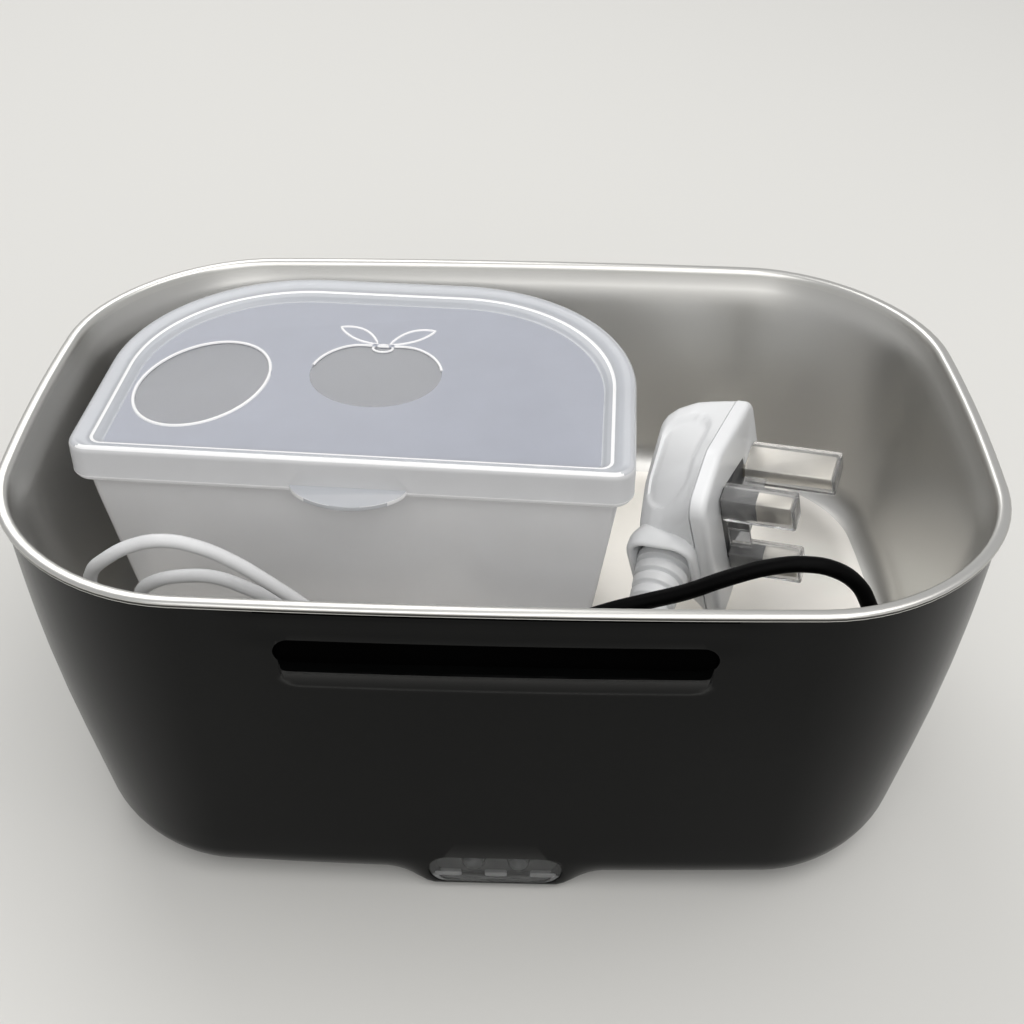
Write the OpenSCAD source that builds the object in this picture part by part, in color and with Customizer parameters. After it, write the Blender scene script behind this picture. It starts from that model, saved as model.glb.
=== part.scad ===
// Electric lunch box: a heated case, a lift-out steel tray, a lidded side-dish box
// and the two leads that are stored in the tray.
// Lengths are millimetres. The origin is the centre of the footprint on the floor,
// with +X to the right, +Y to the back and +Z up.

/* [Case] */
// Length of the case over the steel rim
case_len = 230; // [222:1:240]
// Depth of the case over the steel rim
case_dep = 151.3; // [148:0.1:158]
// Height from the floor to the top of the steel rim
case_h = 102.3; // [99:0.1:108]
// Corner radius of the rim in plan
corner_r = 45.2; // [42:0.1:50]
// How far the long sides curve back at their ends
bow_long = 3.1; // [0:0.1:4]
// How far the short sides curve back at their ends
bow_short = 5.5; // [0:0.1:7]
// Wall thickness of the outer shell
shell_wall = 2.0; // [1.8:0.1:2.1]
// How much each side leans in from the rim to the floor
shell_lean = 10.2; // [9:0.1:11]
// Radius of the rounded bottom edge
bottom_r = 13.5; // [11:0.1:15]

/* [Steel tray] */
// Height of the tray's floor above the table, which is the room for the heater
heater_space = 39.5; // [38:0.1:41]
// Sheet thickness of the tray
tray_wall = 0.6; // [0.4:0.05:0.8]
// Radius between the tray floor and its wall
tray_r = 10; // [8:0.5:12]
// Width of the rolled rim in plan
rim_w = 3.0; // [2.8:0.1:3.4]
// Height of the rolled rim
rim_h = 2.7; // [2.4:0.1:3.2]

/* [Side-dish box] */
// Distance from the left end of the case to the lid
left_space = 11.7; // [11.7:0.1:15]
// Distance from the lid to the right end of the case, which is the room for the plug
right_space = 84.1; // [84:0.1:88]
// Distance from the front of the case to the lid, which is the room for the leads
front_space = 53.8; // [52.5:0.1:57]
// Distance from the lid to the back of the case
back_space = 10; // [9.8:0.1:13]
// Radius of the two back corners of the lid
lid_back_r = 48; // [42:1:54]
// Radius of the two front corners of the lid
lid_front_r = 5.5; // [5:0.5:9]
// Height of the lid's skirt
lid_skirt = 8.7; // [8:0.1:10]
// Wall thickness of the box
box_wall = 1.2; // [1:0.1:1.5]
// Height from the tray floor to the top of the lid
box_h = 60.6; // [58:0.1:62]
// Turn of the box in the tray, in degrees
box_turn = -3.1; // [-4:0.1:-2]
// Half width of the thumb tab
tab_half = 13.7; // [10:0.1:16]
// Reach of the thumb tab past the skirt
tab_reach = 5; // [3:0.1:6]

/* [Latch slot] */
// Length of the slot that the outer lid's clip grips
slot_len = 93; // [80:1:96]
// Height of the slot
slot_h = 7.5; // [6.5:0.1:8]
// Distance from the rim's top down to the slot's middle
slot_drop = 15; // [14.5:0.1:17]
// Depth of the slot behind the wall's face
slot_deep = 1.6; // [1.2:0.1:1.7]
// Reach of the lip under the slot past the wall's face
lip_reach = 2.0; // [1.2:0.1:2.2]
// Height of the lip under the slot
lip_h = 7; // [5:0.1:8]

/* [Indicator] */
// Length of the indicator lens
lens_len = 33; // [28:0.5:36]
// Height of the indicator lens
lens_h = 10.4; // [9:0.1:11]
// Height of the lens's middle above the floor
lens_z = 8.4; // [7.8:0.1:9]
// Diameter of each lamp
led_dia = 5; // [3:0.5:5]
// Distance between the two lamps
led_gap = 11; // [10:0.5:13]

/* [Base] */
// Thickness of the base cover
base_wall = 2; // [1.6:0.1:2.4]
// Diameter of the rubber feet
foot_dia = 14; // [10:0.5:16]
// Height of the feet below the base cover
foot_h = 1.2; // [0.8:0.1:1.6]
// Distance of the base screws from the ends of the case
screw_end_gap = 39; // [37:0.5:42]
// Distance of the base screws from the front and back of the case
screw_side_gap = 36.65; // [35.5:0.1:40]
// Thread diameter of the base screws
screw_dia = 3; // [2.5:0.1:3.5]

/* [Heater] */
// Thickness of the heater plate
plate_t = 2; // [1.5:0.1:2.5]
// Thickness of the gasket under the heater plate
gasket_t = 1.6; // [1.2:0.1:2]
// Wall thickness of the inner tub
tub_wall = 1.2; // [1:0.1:1.3]
// Height of the inner tub's wall above its floor
tub_h = 9.5; // [8:0.5:10]
// Length of each heating element
ptc_len = 70; // [50:1:80]
// Width of each heating element
ptc_dep = 22; // [16:0.5:24]
// Height of each heating element
ptc_h = 6; // [5:0.1:7]

/* [Sockets] */
// Sideways place of the mains socket
ac_x = -24; // [-40:1:-20]
// Sideways place of the low-voltage socket
dc_x = 20; // [14:1:40]
// Height of both sockets above the floor
socket_z = 20; // [18:0.5:22]
// Diameter of the low-voltage socket's opening
dc_dia = 5.8; // [5.5:0.1:6.5]

/* [Mains plug] */
// Half width of the plug's pin face
plug_half = 25; // [24:0.5:26]
// Thickness of the plug's face part
plug_flange = 4; // [3:0.5:5]
// Depth of the plug behind its face part
plug_deep = 17; // [14:0.5:17.5]
// Distance from the live and neutral pins to the earth pin
pin_pitch = 22.2; // [22:0.1:22.4]
// Length of the earth pin
earth_len = 22.7; // [22:0.1:23.2]
// Length of the live and neutral pins
pin_len = 17.7; // [17:0.1:18.2]
// Wall thickness of the clear cover over the pins
cover_wall = 0.8; // [0.6:0.1:1]
// Diameter of the fuse in the plug
fuse_dia = 6.3; // [6:0.1:6.5]

/* [Leads] */
// Diameter of the mains cord
mains_dia = 3.2; // [3:0.1:3.6]
// Diameter of the low-voltage cord
dc_cord_dia = 3.8; // [3.4:0.1:4]
// Diameter of the car plug's grip
car_dia = 22; // [20:0.5:22]
// Length of the car plug's grip
car_len = 27; // [24:0.5:30]
// Diameter of the low-voltage connector's sleeve
barrel_dia = 5.5; // [5:0.1:5.5]

/* [Hidden] */

fit = 0.3;                      // clearance between pieces that lift out or drop in
arc_steps = 11;                 // facets of each corner in plan
side_steps = 4;                 // facets of each side in plan
wall_slope = shell_lean / case_h;
lid_len = case_len - left_space - right_space;   // length of the side-dish lid
lid_dep = case_dep - front_space - back_space;   // depth of the side-dish lid
front = -case_dep / 2;                      // front of the case
tray_slope = 0.106;             // lean of the tray wall per millimetre of height
shoulder = 2.4;                 // step from the rim's inner edge to the tray wall
shoulder_drop = 4.3;            // height of that step

tray_z = heater_space;                      // top of the tray's floor
plate_z = tray_z - tray_wall - fit;         // top of the heater plate
tub_z = plate_z - plate_t - gasket_t;       // top of the tub's floor
tub_floor = 1.6;                            // thickness of the tub's floor
ledge_z = foot_h + base_wall;               // underside of the shell's bottom ledge
ledge_t = 2;                                // thickness of that ledge
base_inset = 24.5;                          // inset of the base cover's opening
ledge_inset = 36;                           // inset of the ledge's inner edge

steel = [0.78, 0.78, 0.77];
black = [0.06, 0.06, 0.065];
frosted = [0.85, 0.9, 0.95, 0.45];
white = [0.94, 0.94, 0.93];
grey = [0.35, 0.36, 0.38];
brass = [0.85, 0.72, 0.4];

// ---------- outlines ----------

function corner(x, y, r, start) =
  [for (i = [0:arc_steps]) let(t = start + 90 * i / arc_steps) [x + r * cos(t), y + r * sin(t)]];
function between(p, q) = [for (i = [1:side_steps - 1]) p + (q - p) * i / side_steps];
function joined(c) = [for (k = [0:3]) each concat(c[k], between(c[k][arc_steps], c[(k + 1) % 4][0]))];

// Pulls the ends of each side in, so that the sides bow outwards.
function bowed(p, a, b) =
  let(u = abs(p[0]) / a, v = abs(p[1]) / b)
  [p[0] - sign(p[0]) * bow_short * v * v * u, p[1] - sign(p[1]) * bow_long * u * u * v];

// Outline of the case in plan, moved inwards by inset.
function case_outline(inset) =
  let(a = case_len / 2 - inset, b = case_dep / 2 - inset, r = max(corner_r - inset, 5))
  [for (p = joined([corner(a - r, b - r, r, 0), corner(r - a, b - r, r, 90),
                    corner(r - a, r - b, r, 180), corner(a - r, r - b, r, 270)])) bowed(p, a, b)];

// Outline of the side-dish box: straight front on y = 0, large back corners.
function dish_outline(inset) =
  let(a = lid_len / 2 - inset, rf = max(lid_front_r - inset, 1.5), rb = max(lid_back_r - inset, 5))
  concat(corner(a - rb, lid_dep - inset - rb, rb, 0), corner(rb - a, lid_dep - inset - rb, rb, 90),
         corner(rf - a, inset + rf, rf, 180), corner(a - rf, inset + rf, rf, 270));

// Skins a stack of rings. An open stack gets two caps, a closed one joins its ends.
module loft(rings, closed) {
  n = len(rings[0]);
  m = len(rings);
  quads = [for (i = [0:(closed ? m - 1 : m - 2)], j = [0:n - 1])
    let(k = (i + 1) % m, l = (j + 1) % n) [i * n + j, k * n + j, k * n + l, i * n + l]];
  sides = [for (q = quads) each [[q[0], q[1], q[2]], [q[0], q[2], q[3]]]];
  caps = closed ? [] : [[for (j = [0:n - 1]) j], [for (j = [n - 1:-1:0]) (m - 1) * n + j]];
  polyhedron([for (r = rings) each r], concat(sides, caps));
}
module case_loft(profile, closed) {
  loft([for (p = profile) [for (q = case_outline(p[0])) [q[0], q[1], p[1]]]], closed);
}
module dish_loft(profile) {
  loft([for (p = profile) [for (q = dish_outline(p[0])) [q[0], q[1], p[1]]]], false);
}
module case_slab(inset, z, t) {
  translate([0, 0, z]) linear_extrude(t) polygon(case_outline(inset));
}

// ---------- outer shell ----------

side_angle = 90 - atan(wall_slope);
bottom_z = foot_h;                                // lowest plane of the shell
function shell_inset(z) = rim_w * 0.4 + (case_h - z) * wall_slope;
round_z = bottom_z + bottom_r;                    // centre height of the bottom rounding
round_c = shell_inset(round_z - bottom_r * cos(side_angle)) + bottom_r * sin(side_angle);
function rounded(r, steps, up) =
  [for (i = [0:steps]) let(t = side_angle * (up ? i : steps - i) / steps)
    [round_c - r * sin(t), round_z - r * cos(t)]];
shell_top = case_h - 1;
shell_profile = concat(
  [[ledge_inset, ledge_z], [base_inset, ledge_z], [base_inset, bottom_z]],
  rounded(bottom_r, 5, true),
  [[shell_inset(shell_top - 0.8), shell_top - 0.8], [shell_inset(shell_top) + 0.3, shell_top],
   [rim_w - tray_wall - 0.45, shell_top],
   [shell_inset(shell_top - 5.3) + shell_wall, shell_top - 5.3]],
  [for (p = rounded(bottom_r - shell_wall, 5, false)) if (p[1] > ledge_z + ledge_t + 0.4) p],
  [[base_inset - 4, ledge_z + ledge_t], [ledge_inset, ledge_z + ledge_t]]);

slot_z = case_h - slot_drop;
function front_y(z) = shell_inset(z) - case_dep / 2;      // wall's outer face in the middle
slot_back = front_y(slot_z) + slot_deep;
pad_t = 0.8;                                              // plastic left behind the slot
nose_half = 25;                                           // half length of the nose
nose_top = 19;                                            // height of the nose
lens_seat_y = front_y(lens_z) + 3.2;                      // floor of the lens's seat
board_y = lens_seat_y + 6.6;                              // front face of the indicator board
socket_y = case_dep / 2 - shell_inset(socket_z);          // wall's outer face at the sockets

module across(length, height, depth) {
  // A bar along X with round ends, standing from y = 0 to y = depth.
  rotate([-90, 0, 0]) linear_extrude(depth) union() {
    square([length - height, height], center = true);
    for (s = [-1, 1]) translate([s * (length - height) / 2, 0]) circle(d = height, $fn = 40);
  }
}
module nose() {
  hull() {
    translate([0, front_y(bottom_z) + 10, bottom_z]) rotate([90, 0, 0]) across_flat(nose_half, 10, 0.6);
    translate([0, front_y(nose_top) + 10.1, nose_top]) rotate([90, 0, 0]) across_flat(nose_half - 4, 10, 0.2);
  }
}
module across_flat(half, r, t) {
  // A flat slab with round ends, lying in the XY plane once turned.
  rotate([-90, 0, 0]) linear_extrude(t) union() {
    square([2 * (half - r), 2 * r], center = true);
    for (s = [-1, 1]) translate([s * (half - r), 0]) circle(r = r, $fn = 32);
  }
}
module slot_lip() {
  top = slot_z - slot_h / 2;
  face = front_y(slot_z) - lip_reach;
  translate([-slot_len / 2, 0, 0]) rotate([90, 0, 90]) linear_extrude(slot_len)
    polygon([[slot_back, top], [face, top], [face, top - 3], [front_y(top - lip_h) - 0.1, top - lip_h],
             [slot_back, top - lip_h]]);
}
module outer_shell() {
  color(black) difference() {
    union() {
      case_loft(shell_profile, true);
      nose();
      slot_lip();
      translate([0, front_y(slot_z) + 1, slot_z]) across(slot_len + 2, slot_h + 2, slot_deep + pad_t - 1);
    }
    case_slab(base_inset, bottom_z - 1, base_wall + 1);
    translate([0, front_y(slot_z) - 6, slot_z]) across(slot_len, slot_h, slot_deep + 6);
    translate([0, front_y(lens_z) - 6, lens_z]) across(lens_len, lens_h, lens_seat_y - front_y(lens_z) + 6);
    translate([0, lens_seat_y - 1, lens_z]) across(lens_len - 3, lens_h - 3, 20);
    translate([8 - nose_half, lens_seat_y + 1.6, ledge_z + ledge_t])
      cube([2 * nose_half - 16, 24, nose_top - ledge_z - ledge_t - 4]);
    for (x = [-screw_x, screw_x], y = [-screw_y, screw_y])
      translate([x, y, ledge_z - 1]) cylinder(d = screw_dia + 2 * fit, h = ledge_t + 2, $fn = 24);
    translate([ac_x, socket_y - 6, socket_z]) across(20 + 2 * fit, 11 + 2 * fit, 12);
    translate([dc_x, socket_y - 6, socket_z]) rotate([-90, 0, 0])
      cylinder(d = 10 + 2 * fit, h = 12, $fn = 40);
  }
}

// ---------- base ----------

screw_x = case_len / 2 - screw_end_gap;
screw_y = case_dep / 2 - screw_side_gap;
head_dia = screw_dia + 2.8;                       // width of the screw heads
foot_x = screw_x - 12;
foot_y = screw_y - 12;
foot_seat = 0.6;                                  // depth of each foot's recess
module corners(x, y) {
  for (sx = [-1, 1], sy = [-1, 1]) translate([sx * x, sy * y, 0]) children();
}
module base_cover() {
  color(black) difference() {
    case_slab(base_inset + fit, foot_h, base_wall);
    corners(screw_x, screw_y) translate([0, 0, foot_h - 1]) {
      cylinder(d = screw_dia + 2 * fit, h = base_wall + 2, $fn = 24);
      cylinder(d = head_dia + 2 * fit, h = 2, $fn = 24);
    }
    corners(foot_x, foot_y) translate([0, 0, foot_h - 1])
      cylinder(d = foot_dia + fit, h = 1 + foot_seat, $fn = 40);
    for (i = [-3:3]) translate([i * 9 - 1.5, -14, foot_h - 1]) cube([3, 28, base_wall + 2]);
  }
}
module rubber_feet() {
  color(grey) corners(foot_x, foot_y) cylinder(d = foot_dia, h = foot_h + foot_seat, $fn = 40);
}
screw_end = tub_z - tub_floor - 12;               // tips of the base screws
module base_screws() {
  color(steel) corners(screw_x, screw_y) difference() {
    union() {
      translate([0, 0, foot_h + 0.1]) cylinder(d = head_dia, h = 0.9, $fn = 24);
      translate([0, 0, foot_h + 0.9]) cylinder(d = screw_dia, h = screw_end - foot_h - 0.9, $fn = 24);
    }
    for (t = [0, 90]) rotate(t) translate([-1.6, -0.3, foot_h]) cube([3.2, 0.6, 0.5]);
  }
}

// ---------- inner tub and heater ----------

function tray_inset(z) = rim_w + shoulder + (case_h - shoulder_drop - z) * tray_slope;
opening_inset = case_dep * 0.304;                 // edge of the tub's central opening
plate_inset = opening_inset - 8;                  // edge of the heater plate
tub_top = tub_z + tub_h;
tub_rim = shell_inset(tub_top) + shell_wall + fit;  // outer edge of the tub's wall
module inner_tub() {
  color(grey) difference() {
    union() {
      case_loft([
        [opening_inset, tub_z - tub_floor], [22, tub_z - tub_floor], [tub_rim + 4, tub_z],
        [tub_rim + 1, tub_z + 3.5], [tub_rim, tub_top], [tub_rim + tub_wall, tub_top],
        [tub_rim + tub_wall + 1.1, tub_z + 4], [tub_rim + tub_wall + 4, tub_z + 1.2], [22, tub_z],
        [opening_inset, tub_z]], true);
      corners(screw_x, screw_y) translate([0, 0, ledge_z + ledge_t])
        cylinder(d = screw_dia + 4, h = tub_z - tub_floor - ledge_z - ledge_t + 0.5, $fn = 32);
    }
    corners(screw_x, screw_y) translate([0, 0, ledge_z])
      cylinder(d = screw_dia, h = screw_end - ledge_z, $fn = 24);
    corners(strap_x, strap_y) translate([0, 0, tub_z - tub_floor - 1])
      cylinder(d = 2.4, h = tub_floor + 2, $fn = 24);
  }
}
ptc_y = ptc_dep / 2 + 3;                          // place of the heating elements along Y
strap_x = ptc_len * 0.36;                         // place of the heater straps along X
strap_half = case_dep / 2 - opening_inset - 0.25; // where a strap bends up past the elements
strap_y = strap_half + 8.6;                       // place of the strap screws along Y
thermostat_x = case_len / 2 - opening_inset - 14; // place of the thermostats along X
ptc_z = plate_z - plate_t - ptc_h;
strap_t = 1.2;
module heater_plate() {
  color(steel) case_slab(plate_inset, plate_z - plate_t, plate_t);
}
module heater_gasket() {
  color([0.6, 0.2, 0.15]) difference() {
    case_slab(plate_inset + 0.5, tub_z, gasket_t);
    case_slab(opening_inset - 1, tub_z - 1, gasket_t + 2);
  }
}
module heating_elements() {
  color([0.8, 0.8, 0.82]) for (s = [-1, 1])
    translate([-ptc_len / 2, s * ptc_y - ptc_dep / 2, ptc_z]) cube([ptc_len, ptc_dep, ptc_h]);
}
module heater_straps() {
  under = tub_z - tub_floor;
  half = strap_half;
  end = strap_half + 12.6;
  color(steel) for (sx = [-1, 1]) difference() {
    translate([sx * strap_x - 7, 0, 0]) rotate([90, 0, 90]) linear_extrude(14)
      polygon([[-end, under], [-end, under - strap_t], [-half - 1.5, under - strap_t],
               [-half + 0.5, ptc_z - strap_t], [half - 0.5, ptc_z - strap_t],
               [half + 1.5, under - strap_t], [end, under - strap_t], [end, under],
               [half, under], [half - 2, ptc_z], [2 - half, ptc_z], [-half, under]]);
    for (sy = [-1, 1]) translate([sx * strap_x, sy * strap_y, under - 3]) cylinder(d = 3.2, h = 5, $fn = 24);
  }
}
module strap_screws() {
  under = tub_z - tub_floor - strap_t;
  color(steel) corners(strap_x, strap_y) {
    translate([0, 0, under - 1.8]) cylinder(d = 5, h = 1.8, $fn = 24);
    translate([0, 0, under - 0.5]) cylinder(d = 2.4, h = strap_t + tub_floor + 0.5, $fn = 24);
  }
}
module thermostats() {
  color([0.75, 0.72, 0.66]) for (x = [-thermostat_x, thermostat_x]) translate([x, 0, plate_z - plate_t]) {
    translate([0, 0, -5]) cylinder(d = 16, h = 5, $fn = 40);
    translate([0, 0, -9]) cylinder(d = 13, h = 4.5, $fn = 40);
    for (s = [-1, 1]) translate([s * 4 - 0.4, -3, -15]) cube([0.8, 6, 7]);
  }
}
module thermal_fuses() {
  color(white) for (x = [-15, 15]) translate([x - 7, 0, plate_z - plate_t - 2]) rotate([0, 90, 0])
    cylinder(d = 4, h = 14, $fn = 24);
}

// ---------- indicator ----------

module indicator_lens() {
  color([0.8, 0.85, 0.9, 0.4]) difference() {
    union() {
      translate([0, front_y(lens_z) + 0.4, lens_z])
        across(lens_len - 0.2, lens_h - 0.2, lens_seat_y - front_y(lens_z) - 0.4);
      translate([0, lens_seat_y - 0.5, lens_z]) across(lens_len - 3.4, lens_h - 3.4, 2);
    }
    for (s = [-1, 1]) translate([s * led_gap / 2, lens_seat_y - 1.4, lens_z]) rotate([-90, 0, 0])
      cylinder(d = led_dia + 1.2, h = 6, $fn = 32);
  }
}
module indicator_lamps() {
  color([0.7, 0.7, 0.72]) for (s = [-1, 1]) translate([s * led_gap / 2, board_y, lens_z]) rotate([90, 0, 0]) {
    cylinder(d = led_dia, h = board_y - lens_seat_y - 1.2, $fn = 32);
    translate([0, 0, board_y - lens_seat_y - 1.2]) intersection() {
      sphere(d = led_dia, $fn = 32);
      cylinder(d = led_dia + 1, h = led_dia, $fn = 32);
    }
    cylinder(d = led_dia + 0.8, h = 1, $fn = 32);
  }
}
module indicator_board() {
  color([0.1, 0.4, 0.2]) translate([8.6 - nose_half, board_y, ledge_z + ledge_t])
    cube([2 * nose_half - 17.2, 1.6, 9]);
}

// ---------- sockets on the back ----------

module mains_socket() {
  color(black) translate([ac_x, 0, socket_z]) difference() {
    union() {
      translate([0, socket_y + wall_slope * 7, 0]) across(26, 16, 1.2);
      translate([0, socket_y - 14, 0]) across(20, 11, 15);
    }
    translate([0, socket_y - 12, 0]) across(16.4, 8.4, 20);
  }
}
module mains_socket_pins() {
  color(steel) translate([ac_x, 0, socket_z]) for (s = [-1, 1])
    translate([s * 4.3, socket_y - 18, 0]) rotate([-90, 0, 0]) {
      translate([0, 0, 6]) cylinder(d = 2.4, h = 9, $fn = 24);
      cylinder(d = 1.6, h = 4, $fn = 24);
    }
}
module low_voltage_socket() {
  color(black) translate([dc_x, 0, socket_z]) difference() {
    union() {
      translate([0, socket_y + wall_slope * 7, 0]) rotate([-90, 0, 0]) cylinder(d = 14, h = 1.2, $fn = 40);
      translate([0, socket_y - 12, 0]) rotate([-90, 0, 0]) cylinder(d = 10, h = 13, $fn = 40);
    }
    translate([0, socket_y - 9, 0]) rotate([-90, 0, 0]) difference() {
      cylinder(d = dc_dia, h = 14, $fn = 40);
      cylinder(d = 2.1, h = 8, $fn = 24);
    }
  }
}

// ---------- inner wires ----------

module mains_wires() {
  low = ptc_z - 5;
  color([0.75, 0.2, 0.15]) for (s = [-1, 1])
    sweep([[ac_x + s * 4.3, socket_y - 18, socket_z], [ac_x + s * 4.3, socket_y - 20.2, socket_z],
           [ac_x + s * 4.3, socket_y - 32.2, low - 3], [s * 2 - ptc_len / 2 - 5, ptc_y + 6, low],
           [s * 2 - ptc_len / 2 - 5, ptc_y, ptc_z + 1],
           [-ptc_len / 2 - 0.6, ptc_y + s * 2, ptc_z + 2]], 1.6);
}
module low_voltage_wires() {
  low = ptc_z - 5;
  color([0.1, 0.1, 0.12]) for (s = [-1, 1])
    sweep([[dc_x + s * 2.5, socket_y - 12.2, socket_z], [dc_x + s * 2.5, socket_y - 24.2, socket_z - 1],
           [dc_x + s * 2.5, socket_y - 36.2, low - 4], [dc_x + s * 2.5, 10 - ptc_y, low - 4],
           [ptc_len / 2 + 6 + s * 2, -ptc_y, low], [ptc_len / 2 + 6 + s * 2, -ptc_y, ptc_z + 1],
           [ptc_len / 2 + 0.6, -ptc_y + s * 2, ptc_z + 2]], 1.6);
}

// ---------- steel tray ----------

tray_angle = 90 - atan(tray_slope);
tray_c = tray_inset(tray_z + tray_r - tray_r * cos(tray_angle)) + tray_r * sin(tray_angle);
function tray_round(r, steps, up) =
  [for (i = [0:steps]) let(t = tray_angle * (up ? i : steps - i) / steps)
    [tray_c - r * sin(t), tray_z + tray_r - r * cos(t)]];
rim_round = 0.45;                                 // how early the rim's top starts to turn down
tray_profile = concat(
  tray_round(tray_r + tray_wall, 4, true),
  [[tray_inset(case_h - shoulder_drop) - tray_wall, case_h - shoulder_drop],
   [rim_w - tray_wall, case_h - 1.5], [rim_w - tray_wall - 0.3, case_h - 0.7],
   [tray_wall + 0.3, case_h - 0.7], [tray_wall, case_h - 1.1], [tray_wall, case_h - rim_h],
   [0, case_h - rim_h], [0, case_h - 1.4], [rim_round, case_h - rim_round], [rim_w / 2, case_h],
   [rim_w - rim_round, case_h - rim_round], [rim_w, case_h - 1.4],
   [tray_inset(case_h - shoulder_drop), case_h - shoulder_drop]],
  tray_round(tray_r, 4, false));
module steel_tray() {
  color(steel) case_loft(tray_profile, false);
}

// ---------- side-dish box ----------

box_x = (left_space - right_space) / 2;           // middle of the lid's front edge
box_y = front + front_space;
box_z = tray_z + fit;
lid_z = tray_z + box_h;
box_lean = 0.125;                                 // lean of the box wall
flange_z = lid_z - lid_skirt - 0.9;
box_top = lid_z - 1.9;
function box_inset(z) = 3 + (lid_z - z) * box_lean - 0.8;
module in_tray() {
  translate([box_x, box_y, 0]) rotate(box_turn) children();
}
module side_dish_box() {
  color(frosted) in_tray() dish_loft([
    [box_inset(box_z) + 3.2, box_z], [box_inset(box_z) + 0.9, box_z + 0.8],
    [box_inset(box_z + 3.5), box_z + 3.5],
    [box_inset(flange_z), flange_z], [0.6, flange_z], [0.6, flange_z + 0.6 + fit / 2],
    [box_inset(flange_z + 1), flange_z + 0.6 + fit / 2],
    [box_inset(box_top), box_top], [box_inset(box_top) + box_wall, box_top],
    [box_inset(box_z + 4) + box_wall, box_z + 4], [box_inset(box_z) + box_wall + 1.2, box_z + 1.9],
    [box_inset(box_z) + box_wall + 3.4, box_z + box_wall]]);
}
lid_wall = 1.0;                                   // wall of the lid
border = 9.5;                                     // width of the lid's raised border
skirt_z = lid_z - lid_skirt;
rib_inset = box_inset(box_top) + box_wall + 0.9;  // outer face of the rib inside the box
module side_dish_lid() {
  half = tab_half;
  color(frosted) in_tray() union() {
    dish_loft([
      [border + 2.5, lid_z - 2.2], [border + 1, lid_z - 1.5], [rib_inset + 1, lid_z - 1.5],
      [rib_inset + 0.9, lid_z - 4.6], [rib_inset, lid_z - 4.6], [rib_inset - 0.1, lid_z - 1.5],
      [lid_wall + 0.4, lid_z - 1.5], [lid_wall, lid_z - 2.2], [lid_wall, skirt_z], [0, skirt_z],
      [0, lid_z - 1.6], [0.8, lid_z - 0.4], [2, lid_z], [border - 0.5, lid_z], [border + 1.5, lid_z - 1.2],
      [border + 3, lid_z - 1.2]]);
    translate([0, 0.6, skirt_z]) linear_extrude(1.2)
      polygon([for (t = [180:15:360]) [half * cos(t), (tab_reach + 0.6) * sin(t)]]);
  }
}

// ---------- mains plug ----------

lead_y = front + 75.65;                            // the leads keep their distance from the front
plug_at = [57, lead_y - 3, tray_z + 28.8];        // middle of the pin face
plug_turn = [17.5, -7, -21.5];
module in_plug() {
  // Plug frame: +X along the pins, +Y towards the earth pin.
  translate(plug_at) rotate(plug_turn) children();
}
plug_low = -13.5;                                 // cord side of the pin face
plug_high = 32.5;                                 // earth side of the pin face
recess = 1.6;                                     // depth of the recess round the pins
module plug_outline(grow) {
  hull() for (s = [-1, 1]) {
    translate([plug_low + 5, s * (plug_half - 5.5)]) circle(r = 5 + grow, $fn = 32);
    translate([3, s * (plug_half - 8)]) circle(r = 8 + grow, $fn = 32);
    translate([plug_high - 7, s * 9.5]) circle(r = 7 + grow, $fn = 32);
  }
}
module facing(x, t) {
  // Puts a flat outline drawn as [y, z] at x and makes it t thick.
  translate([x, 0, 0]) rotate([90, 0, 90]) linear_extrude(t) children();
}
module pin_bar(x, len, y, z, dy, dz, tip) {
  translate([x, y, z]) hull() {
    translate([0, -dy / 2, -dz / 2]) cube([len - tip, dy, dz]);
    translate([0, 0.8 - dy / 2, 0.8 - dz / 2]) cube([len, dy - 1.6, dz - 1.6]);
  }
}
module plug_base() {
  color(white) in_plug() difference() {
    facing(-plug_flange, plug_flange) plug_outline(0);
    facing(-recess, recess + 1) plug_outline(-3.4);
  }
}
module plug_face_plate() {
  color(grey) in_plug() difference() {
    facing(-recess, recess - 0.5) plug_outline(-3.6);
    translate([-3, pin_pitch - 4.1, -2.1]) cube([4, 8.2, 4.2]);
    for (s = [-1, 1]) translate([-3, -2.1, s * 11.1 - 3.3]) cube([4, 4.2, 6.6]);
    translate([-3, 5, -14.6]) cube([4, 7.2, 23.2]);
  }
}
module fuse_carrier() {
  color([0.5, 0.12, 0.1]) in_plug() translate([-recess, 5.1, -14.5]) cube([recess - 0.4, 7, 23]);
}
module plug_body() {
  color(white) in_plug() difference() {
    hull() {
      facing(-plug_flange - 1, 1) plug_outline(-0.4);
      translate([-plug_flange - plug_deep, 0, 0]) facing(0, 1) hull() for (s = [-1, 1]) {
        translate([plug_low + 7, s * 6]) circle(r = 6, $fn = 24);
        translate([plug_high - 6, s * 5]) circle(r = 5.5, $fn = 24);
      }
    }
    translate([-plug_flange - 4.5, 8.6, -16]) cylinder(d = fuse_dia + 0.4, h = 26, $fn = 32);
  }
}
module plug_fuse() {
  color([0.9, 0.88, 0.8]) in_plug() translate([-plug_flange - 4.5, 8.6, -15.7])
    cylinder(d = fuse_dia, h = 25.4, $fn = 32);
}
module earth_pin() {
  color(steel) in_plug() pin_bar(-recess, earth_len + recess, pin_pitch, 0, 8, 4, 1.2);
}
sleeve_end = 9.2;                                 // outer end of the insulating sleeves
module line_neutral_pins() {
  color(steel) in_plug() for (s = [-1, 1]) {
    translate([-recess, -1.3, s * 11.1 - 2.5]) cube([sleeve_end + recess + 0.5, 2.6, 5]);
    pin_bar(sleeve_end, pin_len - sleeve_end, 0, s * 11.1, 4, 6.4, 1.2);
  }
}
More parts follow.
